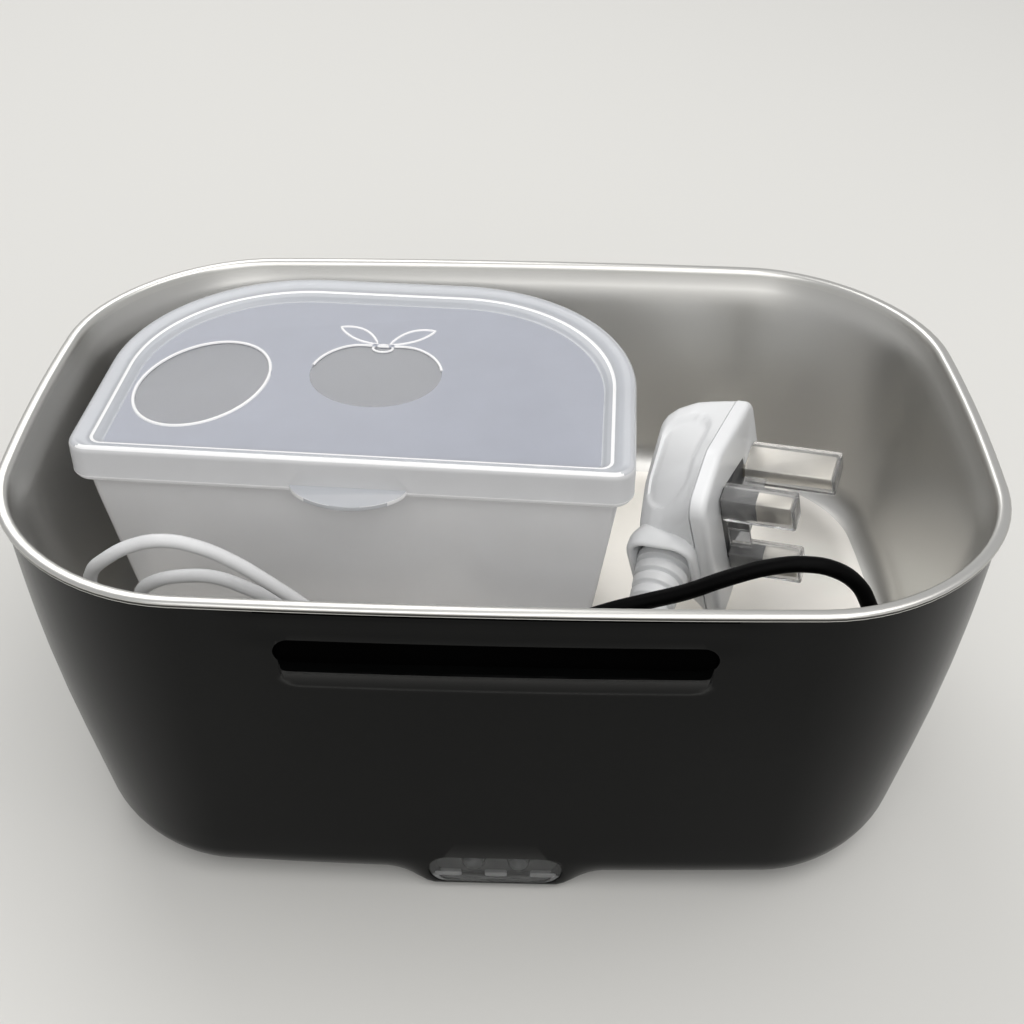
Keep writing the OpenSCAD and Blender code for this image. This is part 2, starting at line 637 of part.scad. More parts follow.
module pin_sleeves() {
  color(grey) in_plug() for (s = [-1, 1]) difference() {
    translate([-recess, -2, s * 11.1 - 3.2]) cube([sleeve_end + recess, 4, 6.4]);
    translate([-recess - 1, -1.35, s * 11.1 - 2.55]) cube([sleeve_end + recess + 2, 2.7, 5.1]);
  }
}
// The three pins as plain blocks, from the given place to their ends, all grown.
module pin_blocks(from, grow) {
  translate([from, pin_pitch - 4 - grow, -2 - grow])
    cube([earth_len + grow - from, 8 + 2 * grow, 4 + 2 * grow]);
  for (s = [-1, 1]) translate([from, -2 - grow, s * 11.1 - 3.2 - grow])
    cube([pin_len + grow - from, 4 + 2 * grow, 6.4 + 2 * grow]);
}
cover_web = 6;                                    // reach of the webs that join the cover's sleeves
module pin_cover() {
  color(frosted) in_plug() difference() {
    union() {
      pin_blocks(fit, fit + cover_wall);
      translate([fit, -cover_wall / 2, -11.1]) cube([cover_web, cover_wall, 22.2]);
      translate([fit, 0, -cover_wall / 2]) cube([cover_web, pin_pitch, cover_wall]);
    }
    pin_blocks(-1, fit);
  }
}
relief_x = -plug_flange - 8.4;                     // middle of the strain relief behind the pin face
relief_end = -38;                                 // its outer end, along -Y of the plug
relief_root = plug_low + 0.4;
module plug_strain_relief() {
  ribs = 6;
  color(white) in_plug() translate([relief_x, relief_root, 0]) rotate([90, 0, 0]) {
    length = relief_root - relief_end;
    rotate_extrude($fn = 32) polygon([[0, 0], [6.4, 0], [3.4, length], [0, length]]);
    for (i = [0:ribs - 1]) translate([0, 0, 1 + i * (length - 3) / ribs])
      cylinder(d = 16 - 1.4 * i, h = 2.2, $fn = 32);
  }
}

// ---------- cords: routes are [x, y, height above the tray floor] ----------

mains_route_in = [
  [34, -31, 16.5], [33, -36, 15.2], [31.5, -41, 13.4], [29.5, -45, 11.4], [26.5, -48.5, 9.6]
];
mains_route_out = [
  [-2, -54, 1.9], [-9, -52, 1.9], [-15, -47.5, 1.9], [-19.5, -41.5, 1.9], [-24, -36, 1.9],
  [-30, -32, 1.9], [-38, -30, 1.9], [-50, -29, 1.9],
  [-62, -28.5, 2.2], [-73, -28.5, 4], [-83, -30, 9], [-90, -33, 17], [-93.5, -37, 27],
  [-94, -41, 36.5], [-91.8, -44, 45], [-88, -45, 49.2], [-82, -45, 53], [-74.5, -45, 54.8],
  [-67, -45, 53.3], [-59.5, -45, 49.3], [-52, -45, 43.3], [-44.5, -44, 35.5], [-38, -42, 26.5],
  [-34, -38, 17], [-35, -34, 9], [-42, -32, 5.6], [-52, -31.5, 5.4], [-63, -31.5, 6], [-73, -32, 10],
  [-80.5, -34, 18], [-84, -36.5, 27], [-83.5, -39, 34.5], [-79, -41, 39.6], [-72, -42, 42.2],
  [-64.5, -42, 41.9], [-57, -42, 38.4], [-49, -41, 32.5], [-40, -39.5, 26], [-31, -39.5, 21],
  [-23, -41.5, 17.5], [-15, -44.5, 15.6], [-8, -46.5, 15], [-3, -47, 15]
];
dc_route = [
  [87.7, -24, 6], [89.5, -30, 7.5], [90.2, -35, 11], [90, -39, 16.5], [89, -42, 23],
  [87, -44.5, 32], [83.5, -45, 40.5], [80, -45, 46.5],
  [74.5, -45, 50.6], [67.5, -45, 52], [60, -45, 51], [51, -45, 47.6], [42, -45, 43.2], [33.5, -45, 40.2],
  [25, -45.5, 37.6], [15, -46.5, 33.6], [5, -48, 28.4], [-4, -49.5, 22.3], [-11, -50, 16.6], [-17, -50, 13],
  [-22, -50, 11.5]
];
dc_route_end = [
  [62, -18.5, 7.2], [57.6, -22.6, 9.2], [54.8, -28, 10.8], [53.8, -34, 12], [55.2, -40, 12.9],
  [58.6, -44.4, 13.2], [63, -46, 13.2]
];
function lifted(route) = [for (p = route) p + [0, lead_y, tray_z]];
function unit(v) = v / norm(v);
function tangents(p) = [for (i = [0:len(p) - 1])
  unit(p[min(i + 1, len(p) - 1)] - p[max(i - 1, 0)])];
function normals(t, i, last) =
  let(n = unit(last - (last * t[i]) * t[i])) i == len(t) - 1 ? [n] : concat([n], normals(t, i + 1, n));
// Sweeps a round cord along its points, with one ring at each point.
module sweep(p, d) {
  sides = 8;
  t = tangents(p);
  n = normals(t, 0, [0.2, 0.1, 1]);
  loft([for (i = [0:len(p) - 1]) [for (k = [0:sides - 1])
    p[i] + d / 2 * (cos(360 * k / sides) * n[i] + sin(360 * k / sides) * cross(t[i], n[i]))]], false);
}
module cord(route, d) {
  sweep(lifted(route), d);
}
module mains_cord() {
  color(white) {
    cord(mains_route_in, mains_dia);
    cord(mains_route_out, mains_dia);
  }
}
module dc_cord() {
  color(black) {
    cord(dc_route, dc_cord_dia);
    cord(dc_route_end, dc_cord_dia);
  }
}
hank_at = [15, -42.5];                             // middle of the mains cord's hank
hank_len = 54;
hank_dep = 27;
hank_h = 10;
module mains_cord_hank() {
  color(white) translate([hank_at[0], lead_y + hank_at[1], tray_z + fit]) linear_extrude(hank_h) union() {
    square([hank_len - hank_dep, hank_dep], center = true);
    for (s = [-1, 1]) translate([s * (hank_len - hank_dep) / 2, 0]) circle(d = hank_dep, $fn = 48);
  }
}
coil_at = [70.2, -31.2];                            // middle of the low-voltage cord's coil
coil_r = 21;
coil_hole = 9.5;
coil_h = 8;
module dc_cord_coil() {
  color(black) translate([coil_at[0], lead_y + coil_at[1], tray_z + fit])
    rotate_extrude($fn = 64) translate([coil_hole, 0]) square([coil_r - coil_hole, coil_h]);
}

// ---------- connectors ----------

module along_x(x, y, z) {
  translate([x, lead_y + y, tray_z + z]) rotate([0, 90, 0]) children();
}
connector_z = fit + hank_h + 4.6;                 // the connector lies on the hank
module appliance_connector() {
  color(white) {
    along_x(-4, -47, connector_z) cylinder(d1 = 5, d2 = 7, h = 8, $fn = 24);
    translate([3.5, lead_y - 47, tray_z + connector_z]) rotate([90, 0, 90]) difference() {
      linear_extrude(17) union() {
        square([7.2, 8.2], center = true);
        for (s = [-1, 1]) translate([s * 3.6, 0]) circle(d = 8.2, $fn = 32);
      }
      for (s = [-1, 1]) translate([s * 4.3, 0, 8]) cylinder(d = 2.8, h = 10, $fn = 24);
    }
  }
}
car_y = -50;
car_z = 11.5;
car_grip_x = -58;                                 // outer end of the grip
car_nose = 22;                                    // length of the part that enters the car's socket
module car_plug_body() {
  color(black) {
    along_x(car_grip_x, car_y, car_z) cylinder(d = car_dia, h = car_len, $fn = 48);
    along_x(car_grip_x + car_len - 0.5, car_y, car_z) cylinder(d1 = 12, d2 = 6.5, h = 11, $fn = 32);
    along_x(car_grip_x - car_nose, car_y, car_z) difference() {
      cylinder(d = car_dia - 2, h = car_nose + 0.5, $fn = 48);
      for (s = [-1, 1]) translate([-3, s * (car_dia / 2 - 1) - 1.6, 4]) cube([6, 3.2, 15]);
    }
  }
}
module car_plug_ring() {
  color(grey) along_x(car_grip_x - car_nose - 3, car_y, car_z) difference() {
    cylinder(d1 = car_dia - 6, d2 = car_dia - 2, h = 3, $fn = 48);
    translate([0, 0, -1]) cylinder(d = 8.4, h = 5, $fn = 32);
  }
}
module car_plug_tip() {
  color(brass) along_x(car_grip_x - car_nose - 8, car_y, car_z) {
    cylinder(d1 = 5, d2 = 8, h = 2, $fn = 32);
    translate([0, 0, 1.9]) cylinder(d = 8, h = 6.1, $fn = 32);
  }
}
module car_plug_springs() {
  reach = car_dia / 2 - 1;
  color(steel) for (s = [-1, 1])
    translate([car_grip_x - car_nose, lead_y + car_y, tray_z + car_z]) scale([1, s, 1])
    translate([0, 0, -2]) linear_extrude(4)
      polygon([[5, reach - 1.5], [5, reach - 0.7], [9, reach + 0.9], [13, reach + 0.9], [18, reach - 0.7],
               [18, reach - 1.5]]);
}
dc_plug_y = -46;
dc_plug_z = fit + coil_h + 4.9;                   // the connector lies on the coil
dc_plug_x = 66;                                    // where the connector's grip starts
dc_grip = 9;                                       // length of that grip
module dc_connector_body() {
  color(black) {
    along_x(dc_plug_x, dc_plug_y, dc_plug_z) cylinder(d = 9.6, h = dc_grip, $fn = 32);
    along_x(dc_plug_x - 4, dc_plug_y, dc_plug_z) cylinder(d1 = 5, d2 = 8, h = 4.1, $fn = 32);
  }
}
module dc_connector_barrel() {
  color(steel) along_x(dc_plug_x + dc_grip, dc_plug_y, dc_plug_z) difference() {
    cylinder(d = barrel_dia, h = 9.5, $fn = 32);
    translate([0, 0, 1]) cylinder(d = 2.5, h = 9.5, $fn = 24);
  }
}

outer_shell();
base_cover();
inner_tub();
heater_plate();
heater_gasket();
heating_elements();
heater_straps();
strap_screws();
thermostats();
thermal_fuses();
indicator_board();
indicator_lamps();
indicator_lens();
mains_socket();
mains_socket_pins();
low_voltage_socket();
base_screws();
rubber_feet();
mains_wires();
low_voltage_wires();
steel_tray();
side_dish_box();
side_dish_lid();
plug_body();
plug_base();
plug_face_plate();
earth_pin();
line_neutral_pins();
pin_sleeves();
pin_cover();
fuse_carrier();
plug_fuse();
plug_strain_relief();
mains_cord();
mains_cord_hank();
appliance_connector();
dc_cord();
dc_cord_coil();
car_plug_body();
car_plug_ring();
car_plug_tip();
car_plug_springs();
dc_connector_body();
dc_connector_barrel();
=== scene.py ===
# %% [markdown]
# # A heated lunch box
#
# This lesson dresses an electric lunch box: a black case with a heater in its
# base, a lift-out steel tray, a frosted side-dish box and the two leads that are
# stored in the tray. A fixed model of the object is loaded first. It says where
# every piece is, and the lesson builds finer pieces in the same places.

# %% Load the fixed model
import math

import bmesh
import bpy
from mathutils import Matrix, Vector


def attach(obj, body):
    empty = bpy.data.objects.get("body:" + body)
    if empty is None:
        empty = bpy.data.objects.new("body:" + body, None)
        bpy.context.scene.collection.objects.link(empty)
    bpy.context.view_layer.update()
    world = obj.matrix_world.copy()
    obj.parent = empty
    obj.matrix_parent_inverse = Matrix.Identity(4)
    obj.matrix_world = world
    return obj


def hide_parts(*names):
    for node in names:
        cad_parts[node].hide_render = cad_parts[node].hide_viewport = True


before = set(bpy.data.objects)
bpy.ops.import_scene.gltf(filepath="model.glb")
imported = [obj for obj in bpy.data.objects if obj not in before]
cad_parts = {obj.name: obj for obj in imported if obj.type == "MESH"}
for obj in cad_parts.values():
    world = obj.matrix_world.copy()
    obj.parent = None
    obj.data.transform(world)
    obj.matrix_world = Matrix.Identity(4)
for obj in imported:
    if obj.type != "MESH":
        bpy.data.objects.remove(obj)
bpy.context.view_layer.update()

MM = 0.001

# %% [markdown]
# ## The camera
#
# A real lens is found from its angle of view. Here a 49 mm lens looks down at
# the box from in front, and the camera is turned by a hair around its own axis.
# The three axes of the camera are built from two angles and the turn, which is
# easier to read than Euler angles when the camera looks at a known place.

# %% Camera
CAMERA_PLACE = Vector((5.4, -284.3, 288.42)) * MM
PITCH, YAW, ROLL = (math.radians(angle) for angle in (37.565, -0.66, 0.803))

ahead = Vector((math.sin(YAW) * math.cos(PITCH), math.cos(YAW) * math.cos(PITCH), -math.sin(PITCH)))
level_right = ahead.cross(Vector((0, 0, 1))).normalized()
level_up = level_right.cross(ahead)
right = level_right * math.cos(ROLL) + level_up * math.sin(ROLL)
up = level_up * math.cos(ROLL) - level_right * math.sin(ROLL)

bpy.ops.object.camera_add()
camera = bpy.context.object
camera.name = "camera"
camera.data.lens = 49.22
camera.data.sensor_width = 36
camera.data.clip_start = 0.01
turned_to_view = Matrix((right, up, -ahead)).transposed().to_4x4()
camera.matrix_world = Matrix.Translation(CAMERA_PLACE) @ turned_to_view
bpy.context.scene.camera = camera
print("camera", round((CAMERA_PLACE - Vector((0, 0, 0.05))).length, 3), "m from the box")

# %% [markdown]
# ## Cords as smooth curves
#
# A cord is a fixed length of something flexible. It is drawn as one curve with a
# point every few millimetres, and the curve is given the cord's thickness. The
# part of a lead that nobody needs is folded into a flat hank or wound into a
# coil, turn beside turn and layer on layer. To keep the turns apart, each turn
# moves to its next track a little earlier than the turn before it did.

# %% Tracks for wound turns
TRAY_FLOOR = 39.5


def eased(t):
    """From 0 to 1 with a soft start and end."""
    t = min(max(t, 0), 1)
    return t * t * (3 - 2 * t)


def wound(track, slots, start, end, steps, move, lead):
    """Points of turns that follow track(part, reach, height), one slot after another.

    Each turn has steps points. A turn takes the share move of itself to reach its
    next slot, and is there earlier than the turn before it was by the share lead."""
    points = []
    count = round((len(slots) - 1 + end - start) * steps)
    for i in range(count + 1):
        turn = start + (len(slots) - 1 + end - start) * i / count
        place = float(len(slots) - 1)
        for k in range(len(slots) - 1):
            done = k + 1 - lead * k
            if turn < done:
                place = k + eased((turn - done + move) / move)
                break
        low = min(int(place), len(slots) - 1)
        high = min(low + 1, len(slots) - 1)
        reach, height = (slots[low][j] + (slots[high][j] - slots[low][j]) * (place - low) for j in (0, 1))
        points.append(track(turn % 1, reach, height))
    return points


# %% Cord from a route
def cord_along(name, route, diameter):
    """A round tube along one smooth line through the route, and the points of that line in metres.

    The route's points are in mm, with their heights above the tray's floor."""
    curve = bpy.data.curves.new(name, "CURVE")
    curve.dimensions = "3D"
    curve.resolution_u = 4
    spline = curve.splines.new("BEZIER")
    spline.bezier_points.add(len(route) - 1)
    for point, (x, y, z) in zip(spline.bezier_points, route):
        point.co = Vector((x, y, z + TRAY_FLOOR)) * MM
        point.handle_left_type = point.handle_right_type = "AUTO"
    cord = bpy.data.objects.new(name, curve)
    bpy.context.scene.collection.objects.link(cord)
    bare = cord.evaluated_get(bpy.context.evaluated_depsgraph_get()).to_mesh()
    line = [vertex.co.copy() for vertex in bare.vertices]
    curve.bevel_depth = diameter / 2
    curve.bevel_resolution = 4
    curve.use_fill_caps = True
    bpy.ops.object.select_all(action="DESELECT")
    cord.select_set(True)
    bpy.context.view_layer.objects.active = cord
    bpy.ops.object.convert(target="MESH")
    bpy.ops.object.shade_smooth_by_angle(angle=math.radians(50))
    return bpy.context.object, line


# %% [markdown]
# ## The mains lead
#
# The white lead leaves the plug, goes down into a hank that lies on the tray's
# floor, comes out of it to the left, makes two loops against the wall, and ends
# in its connector on top of the hank. The hank is about seventeen cord diameters
# long, and its folds are no tighter than the cord allows.

# %% Mains lead
MAINS_DIAMETER = 3.2
mains_in = [(34, -31, 16.5), (33, -36, 15.2), (31.5, -41, 13.4), (29.5, -45, 11.4), (26.5, -48.5, 9.6)]
mains_out = [
    (-2, -54, 1.9), (-9, -52, 1.9), (-15, -47.5, 1.9), (-19.5, -41.5, 1.9), (-24, -36, 1.9),
    (-30, -32, 1.9), (-38, -30, 1.9), (-50, -29, 1.9), (-62, -28.5, 2.2), (-73, -28.5, 4), (-83, -30, 9),
    (-90, -33, 17), (-93.5, -37, 27), (-94, -41, 36.5), (-91.8, -44, 45), (-88, -45, 49.2),
    (-82, -45, 53), (-74.5, -45, 54.8), (-67, -45, 53.3), (-59.5, -45, 49.3), (-52, -45, 43.3),
    (-44.5, -44, 35.5), (-38, -42, 26.5), (-34, -38, 17), (-35, -34, 9), (-42, -32, 5.6),
    (-52, -31.5, 5.4), (-63, -31.5, 6), (-73, -32, 10), (-80.5, -34, 18), (-84, -36.5, 27),
    (-83.5, -39, 34.5), (-79, -41, 39.6), (-72, -42, 42.2), (-64.5, -42, 41.9), (-57, -42, 38.4),
    (-49, -41, 32.5), (-40, -39.5, 26), (-31, -39.5, 21), (-23, -41.5, 17.5), (-15, -44.5, 15.6),
    (-8, -46.5, 15), (-3, -47, 15),
]
HANK_MIDDLE = (15, -42.5)
HANK_RUN = 27


def hank_track(part, reach, height):
    """A flat loop, walked clockwise from the right end of its front run."""
    half = HANK_RUN / 2
    if part < 0.2:
        x, y = half - HANK_RUN * part / 0.2, -reach
    elif part < 0.5:
        turn = math.pi * (part - 0.2) / 0.3
        x, y = -half - reach * math.sin(turn), -reach * math.cos(turn)
    elif part < 0.7:
        x, y = -half + HANK_RUN * (part - 0.5) / 0.2, reach
    else:
        turn = math.pi * (part - 0.7) / 0.3
        x, y = half + reach * math.sin(turn), reach * math.cos(turn)
    return (HANK_MIDDLE[0] + x, HANK_MIDDLE[1] + y, height)


hank_slots = [(8.7, 8.4), (11.9, 8.4), (11.9, 5.2), (8.7, 5.2), (8.7, 1.95), (11.9, 1.95)]
hank_points = wound(hank_track, hank_slots, start=0.06, end=1.17, steps=24, move=0.2, lead=0.07)
mains_route = mains_in + hank_points + mains_out
mains_cord, mains_line = cord_along("mains_lead", mains_route, MAINS_DIAMETER * MM)
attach(mains_cord, "stored_leads")
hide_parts("mains_cord", "mains_cord_hank")

# %% [markdown]
# ## The car lead
#
# The black lead goes from the car plug over the front of the tray in one wide
# arc, drops into a round coil in the right corner, and ends in a barrel
# connector that lies on the coil.

# %% Car lead
CAR_CORD_DIAMETER = 3.8
car_cord_over = [
    (-22, -50, 11.5), (-17, -50, 13), (-11, -50, 16.6), (-4, -49.5, 22.3), (5, -48, 28.4),
    (15, -46.5, 33.6), (25, -45.5, 37.6), (33.5, -45, 40.2), (42, -45, 43.2), (51, -45, 47.6),
    (60, -45, 51), (67.5, -45, 52), (74.5, -45, 50.6), (80, -45, 46.5), (83.5, -45, 40.5),
    (87, -44.5, 32), (89, -42, 23), (90, -39, 16.5), (90.2, -35, 11), (89.5, -30, 7.5), (87.7, -24, 6),
]
car_cord_end = [
    (62, -18.5, 7.2), (57.6, -22.6, 9.2), (54.8, -28, 10.8), (53.8, -34, 12), (55.2, -40, 12.9),
    (58.6, -44.4, 13.2), (63, -46, 13.2),
]
COIL_MIDDLE = (70.2, -31.2)


def coil_track(part, reach, height):
    """A circle, walked against the clock from its right side."""
    turn = 2 * math.pi * part
    return (COIL_MIDDLE[0] + reach * math.cos(turn), COIL_MIDDLE[1] + reach * math.sin(turn), height)


coil_slots = [(19.0, 6.1), (19.0, 2.25), (15.2, 2.25), (11.4, 2.25), (11.4, 6.1), (15.2, 6.1)]
coil_points = wound(coil_track, coil_slots, start=0.1, end=0.28, steps=20, move=0.17, lead=0.08)
car_route = car_cord_over + coil_points + car_cord_end
car_cord, car_line = cord_along("car_lead", car_route, CAR_CORD_DIAMETER * MM)
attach(car_cord, "stored_leads")
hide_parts("dc_cord", "dc_cord_coil")

# %% [markdown]
# ## The table and the light
#
# The box stands on a pale matt floor. A large soft lamp behind it gives the
# light of a window, so its shade falls to the front. A lamp above and a lamp
# behind the viewer light the inside of the tray, and the pale room around fills
# the shadows.

# %% Floor
bpy.ops.mesh.primitive_plane_add(size=8)
floor = bpy.context.object
floor.name = "floor"
floor_paint = bpy.data.materials.new("floor paint")
floor_paint.use_nodes = True
nodes, links = floor_paint.node_tree.nodes, floor_paint.node_tree.links
shader = nodes["Principled BSDF"]
shader.inputs["Base Color"].default_value = (0.72, 0.715, 0.69, 1)
shader.inputs["Roughness"].default_value = 0.9
floor.data.materials.append(floor_paint)

# %% Lamps and room
def soft_lamp(name, place, target, size, power, colour):
    """A square lamp that looks at the target."""
    bpy.ops.object.light_add(type="AREA", location=place)
    lamp = bpy.context.object
    lamp.name = name
    lamp.data.size = size
    lamp.data.energy = power
    lamp.data.color = colour
    lamp.rotation_euler = (Vector(target) - Vector(place)).to_track_quat("-Z", "Y").to_euler()
    return lamp


soft_lamp("window", (-0.35, 0.8, 1.0), (0, 0, 0.05), 0.8, 4.4, (1, 0.99, 0.97))
soft_lamp("ceiling", (0.45, -0.1, 1.2), (0, 0, 0.05), 0.8, 3.6, (1, 0.98, 0.95))
soft_lamp("room behind the viewer", (0.1, -0.85, 0.9), (0, 0, 0.06), 1.1, 6, (1, 0.99, 0.97))

room = bpy.data.worlds.new("room")
bpy.context.scene.world = room
room.use_nodes = True
nodes, links = room.node_tree.nodes, room.node_tree.links
nodes.clear()
output = nodes.new("ShaderNodeOutputWorld")
surround = nodes.new("ShaderNodeBackground")
surround.inputs["Strength"].default_value = 0.64
way = nodes.new("ShaderNodeTexCoord")
split = nodes.new("ShaderNodeSeparateXYZ")
shades = nodes.new("ShaderNodeValToRGB")
shades.color_ramp.elements[0].position = 0.45
shades.color_ramp.elements[0].color = (0.9, 0.89, 0.86, 1)
shades.color_ramp.elements[1].position = 0.75
shades.color_ramp.elements[1].color = (0.85, 0.85, 0.86, 1)
rescale = nodes.new("ShaderNodeMapRange")
rescale.inputs["From Min"].default_value = -1
links.new(way.outputs["Generated"], split.inputs["Vector"])
links.new(split.outputs["Z"], rescale.inputs["Value"])
links.new(rescale.outputs["Result"], shades.inputs["Fac"])
links.new(shades.outputs["Color"], surround.inputs["Color"])
links.new(surround.outputs["Background"], output.inputs["Surface"])
bpy.context.scene.view_settings.view_transform = "Standard"

# %% [markdown]
# ## Effects that several finishes share
#
# Real surfaces are never one flat colour. Five effects come back on many pieces
# of this object, so each is built once as a node group with named values: soft
# clouds of tone, the grain that a spark-eroded mould leaves in plastic, the
# hairlines of brushed metal, edges that hands have rubbed bright, and a painted
# highlight along the beads and edges of clear plastic, which stands in for the
# light that they gather. A group gives out a value or a height, and each
# material decides what it does with it.

# %% Shared effect groups
NUMBER = "NodeSocketFloat"


def effect(name, outputs, in_space=True, **numbers):
    """An empty node group and its two end nodes; an effect in space has a Vector input before its numbers."""
    group = bpy.data.node_groups.new(name, "ShaderNodeTree")
    if in_space:
        group.interface.new_socket("Vector", in_out="INPUT", socket_type="NodeSocketVector")
    for label, value in numbers.items():
        group.interface.new_socket(label, in_out="INPUT", socket_type=NUMBER).default_value = value
    for label in outputs:
        group.interface.new_socket(label, in_out="OUTPUT", socket_type=NUMBER)
    return group, group.nodes.new("NodeGroupInput"), group.nodes.new("NodeGroupOutput")


def noise_in(tree, vector, scale, detail, roughness=0.55):
    """A noise texture; its scale is a number or a socket."""
    node = tree.nodes.new("ShaderNodeTexNoise")
    node.inputs["Detail"].default_value = detail
    node.inputs["Roughness"].default_value = roughness
    tree.links.new(vector, node.inputs["Vector"])
    if isinstance(scale, (int, float)):
        node.inputs["Scale"].default_value = scale
    else:
        tree.links.new(scale, node.inputs["Scale"])
    return node


def ramp_in(tree, value, low, high, out_low=0.0, out_high=1.0):
    """Stretches the values from low to high over a new range."""
    node = tree.nodes.new("ShaderNodeMapRange")
    limits = {"From Min": low, "From Max": high, "To Min": out_low, "To Max": out_high}
    for label, number in limits.items():
        node.inputs[label].default_value = number
    tree.links.new(value, node.inputs["Value"])
    return node.outputs["Result"]


def product(tree, a, b):
    node = tree.nodes.new("ShaderNodeMath")
    node.operation = "MULTIPLY"
    tree.links.new(a, node.inputs[0])
    tree.links.new(b, node.inputs[1])
    return node.outputs[0]


# %% Clouds and grain
clouds, way_in, way_out = effect("soft clouds", ["Amount"], Scale=40.0)
tone = noise_in(clouds, way_in.outputs["Vector"], way_in.outputs["Scale"], 4)
clouds.links.new(ramp_in(clouds, tone.outputs["Fac"], 0.32, 0.68), way_out.inputs["Amount"])

grain, way_in, way_out = effect("mould grain", ["Height"], Scale=3000.0)
pits = noise_in(grain, way_in.outputs["Vector"], way_in.outputs["Scale"], 2, 0.6)
grain.links.new(pits.outputs["Fac"], way_out.inputs["Height"])
print("nodes:", len(clouds.nodes), "for the clouds,", len(grain.nodes), "for the grain")

# %% Hairlines
hairlines, way_in, way_out = effect("hairlines", ["Height"], Along=6.0, Across=5000.0)
stretch = hairlines.nodes.new("ShaderNodeVectorMath")
stretch.operation = "MULTIPLY"
scales = hairlines.nodes.new("ShaderNodeCombineXYZ")
hairlines.links.new(way_in.outputs["Along"], scales.inputs["X"])
hairlines.links.new(way_in.outputs["Across"], scales.inputs["Y"])
hairlines.links.new(way_in.outputs["Across"], scales.inputs["Z"])
hairlines.links.new(way_in.outputs["Vector"], stretch.inputs[0])
hairlines.links.new(scales.outputs["Vector"], stretch.inputs[1])
fine = noise_in(hairlines, stretch.outputs["Vector"], 1.0, 3, 0.6)
hairlines.links.new(fine.outputs["Fac"], way_out.inputs["Height"])
print("nodes:", len(hairlines.nodes), "for the hairlines")

# %% Rubbed edges and a painted edge highlight
rubbed, way_in, way_out = effect("rubbed edges", ["Amount"], Scale=60.0)
edge = rubbed.nodes.new("ShaderNodeNewGeometry")
broken = noise_in(rubbed, way_in.outputs["Vector"], way_in.outputs["Scale"], 3)
worn = product(rubbed, ramp_in(rubbed, edge.outputs["Pointiness"], 0.52, 0.58),
               ramp_in(rubbed, broken.outputs["Fac"], 0.4, 0.7))
rubbed.links.new(worn, way_out.inputs["Amount"])

# A painted highlight: this group lightens convex edges and beads, standing in for the light that clear
# plastic gathers there.
painted_edge_highlight, way_in, way_out = effect("painted edge highlight", ["Amount"], in_space=False, From=0.52, To=0.57)
bend = painted_edge_highlight.nodes.new("ShaderNodeNewGeometry")
span = painted_edge_highlight.nodes.new("ShaderNodeMapRange")
painted_edge_highlight.links.new(way_in.outputs["From"], span.inputs["From Min"])
painted_edge_highlight.links.new(way_in.outputs["To"], span.inputs["From Max"])
painted_edge_highlight.links.new(bend.outputs["Pointiness"], span.inputs["Value"])
painted_edge_highlight.links.new(span.outputs["Result"], way_out.inputs["Amount"])
print("effects:", [g.name for g in bpy.data.node_groups])

# %% [markdown]
# ## A finish in one call
#
# Every material here has the same bones: a colour that drifts a little, a
# roughness that drifts with it, rubbed edges, and a bump. The function below
# builds them from a few numbers, and each finish then adds what is its own.

# %% Finish builder
def shade(colour, factor):
    """A colour made lighter or darker, with the alpha that a socket wants."""
    return tuple(c * factor for c in colour) + (1,)


def placed(tree, group, where=None, **values):
    """One of the shared effects in a material, and its outputs."""
    node = tree.nodes.new("ShaderNodeGroup")
    node.node_tree = group
    for label, number in values.items():
        node.inputs[label].default_value = number
    if where:
        tree.links.new(where, node.inputs["Vector"])
    return node.outputs


def laid_over(tree, under, over, amount):
    """A colour laid over another, which may be a socket, where the amount says so."""
    mix = tree.nodes.new("ShaderNodeMix")
    mix.data_type = "RGBA"
    mix.inputs["B"].default_value = over
    if isinstance(under, tuple):
        mix.inputs["A"].default_value = under
    else:
        tree.links.new(under, mix.inputs["A"])
    tree.links.new(amount, mix.inputs["Factor"])
    return mix.outputs["Result"]


BUMP_STRENGTH = 0.6


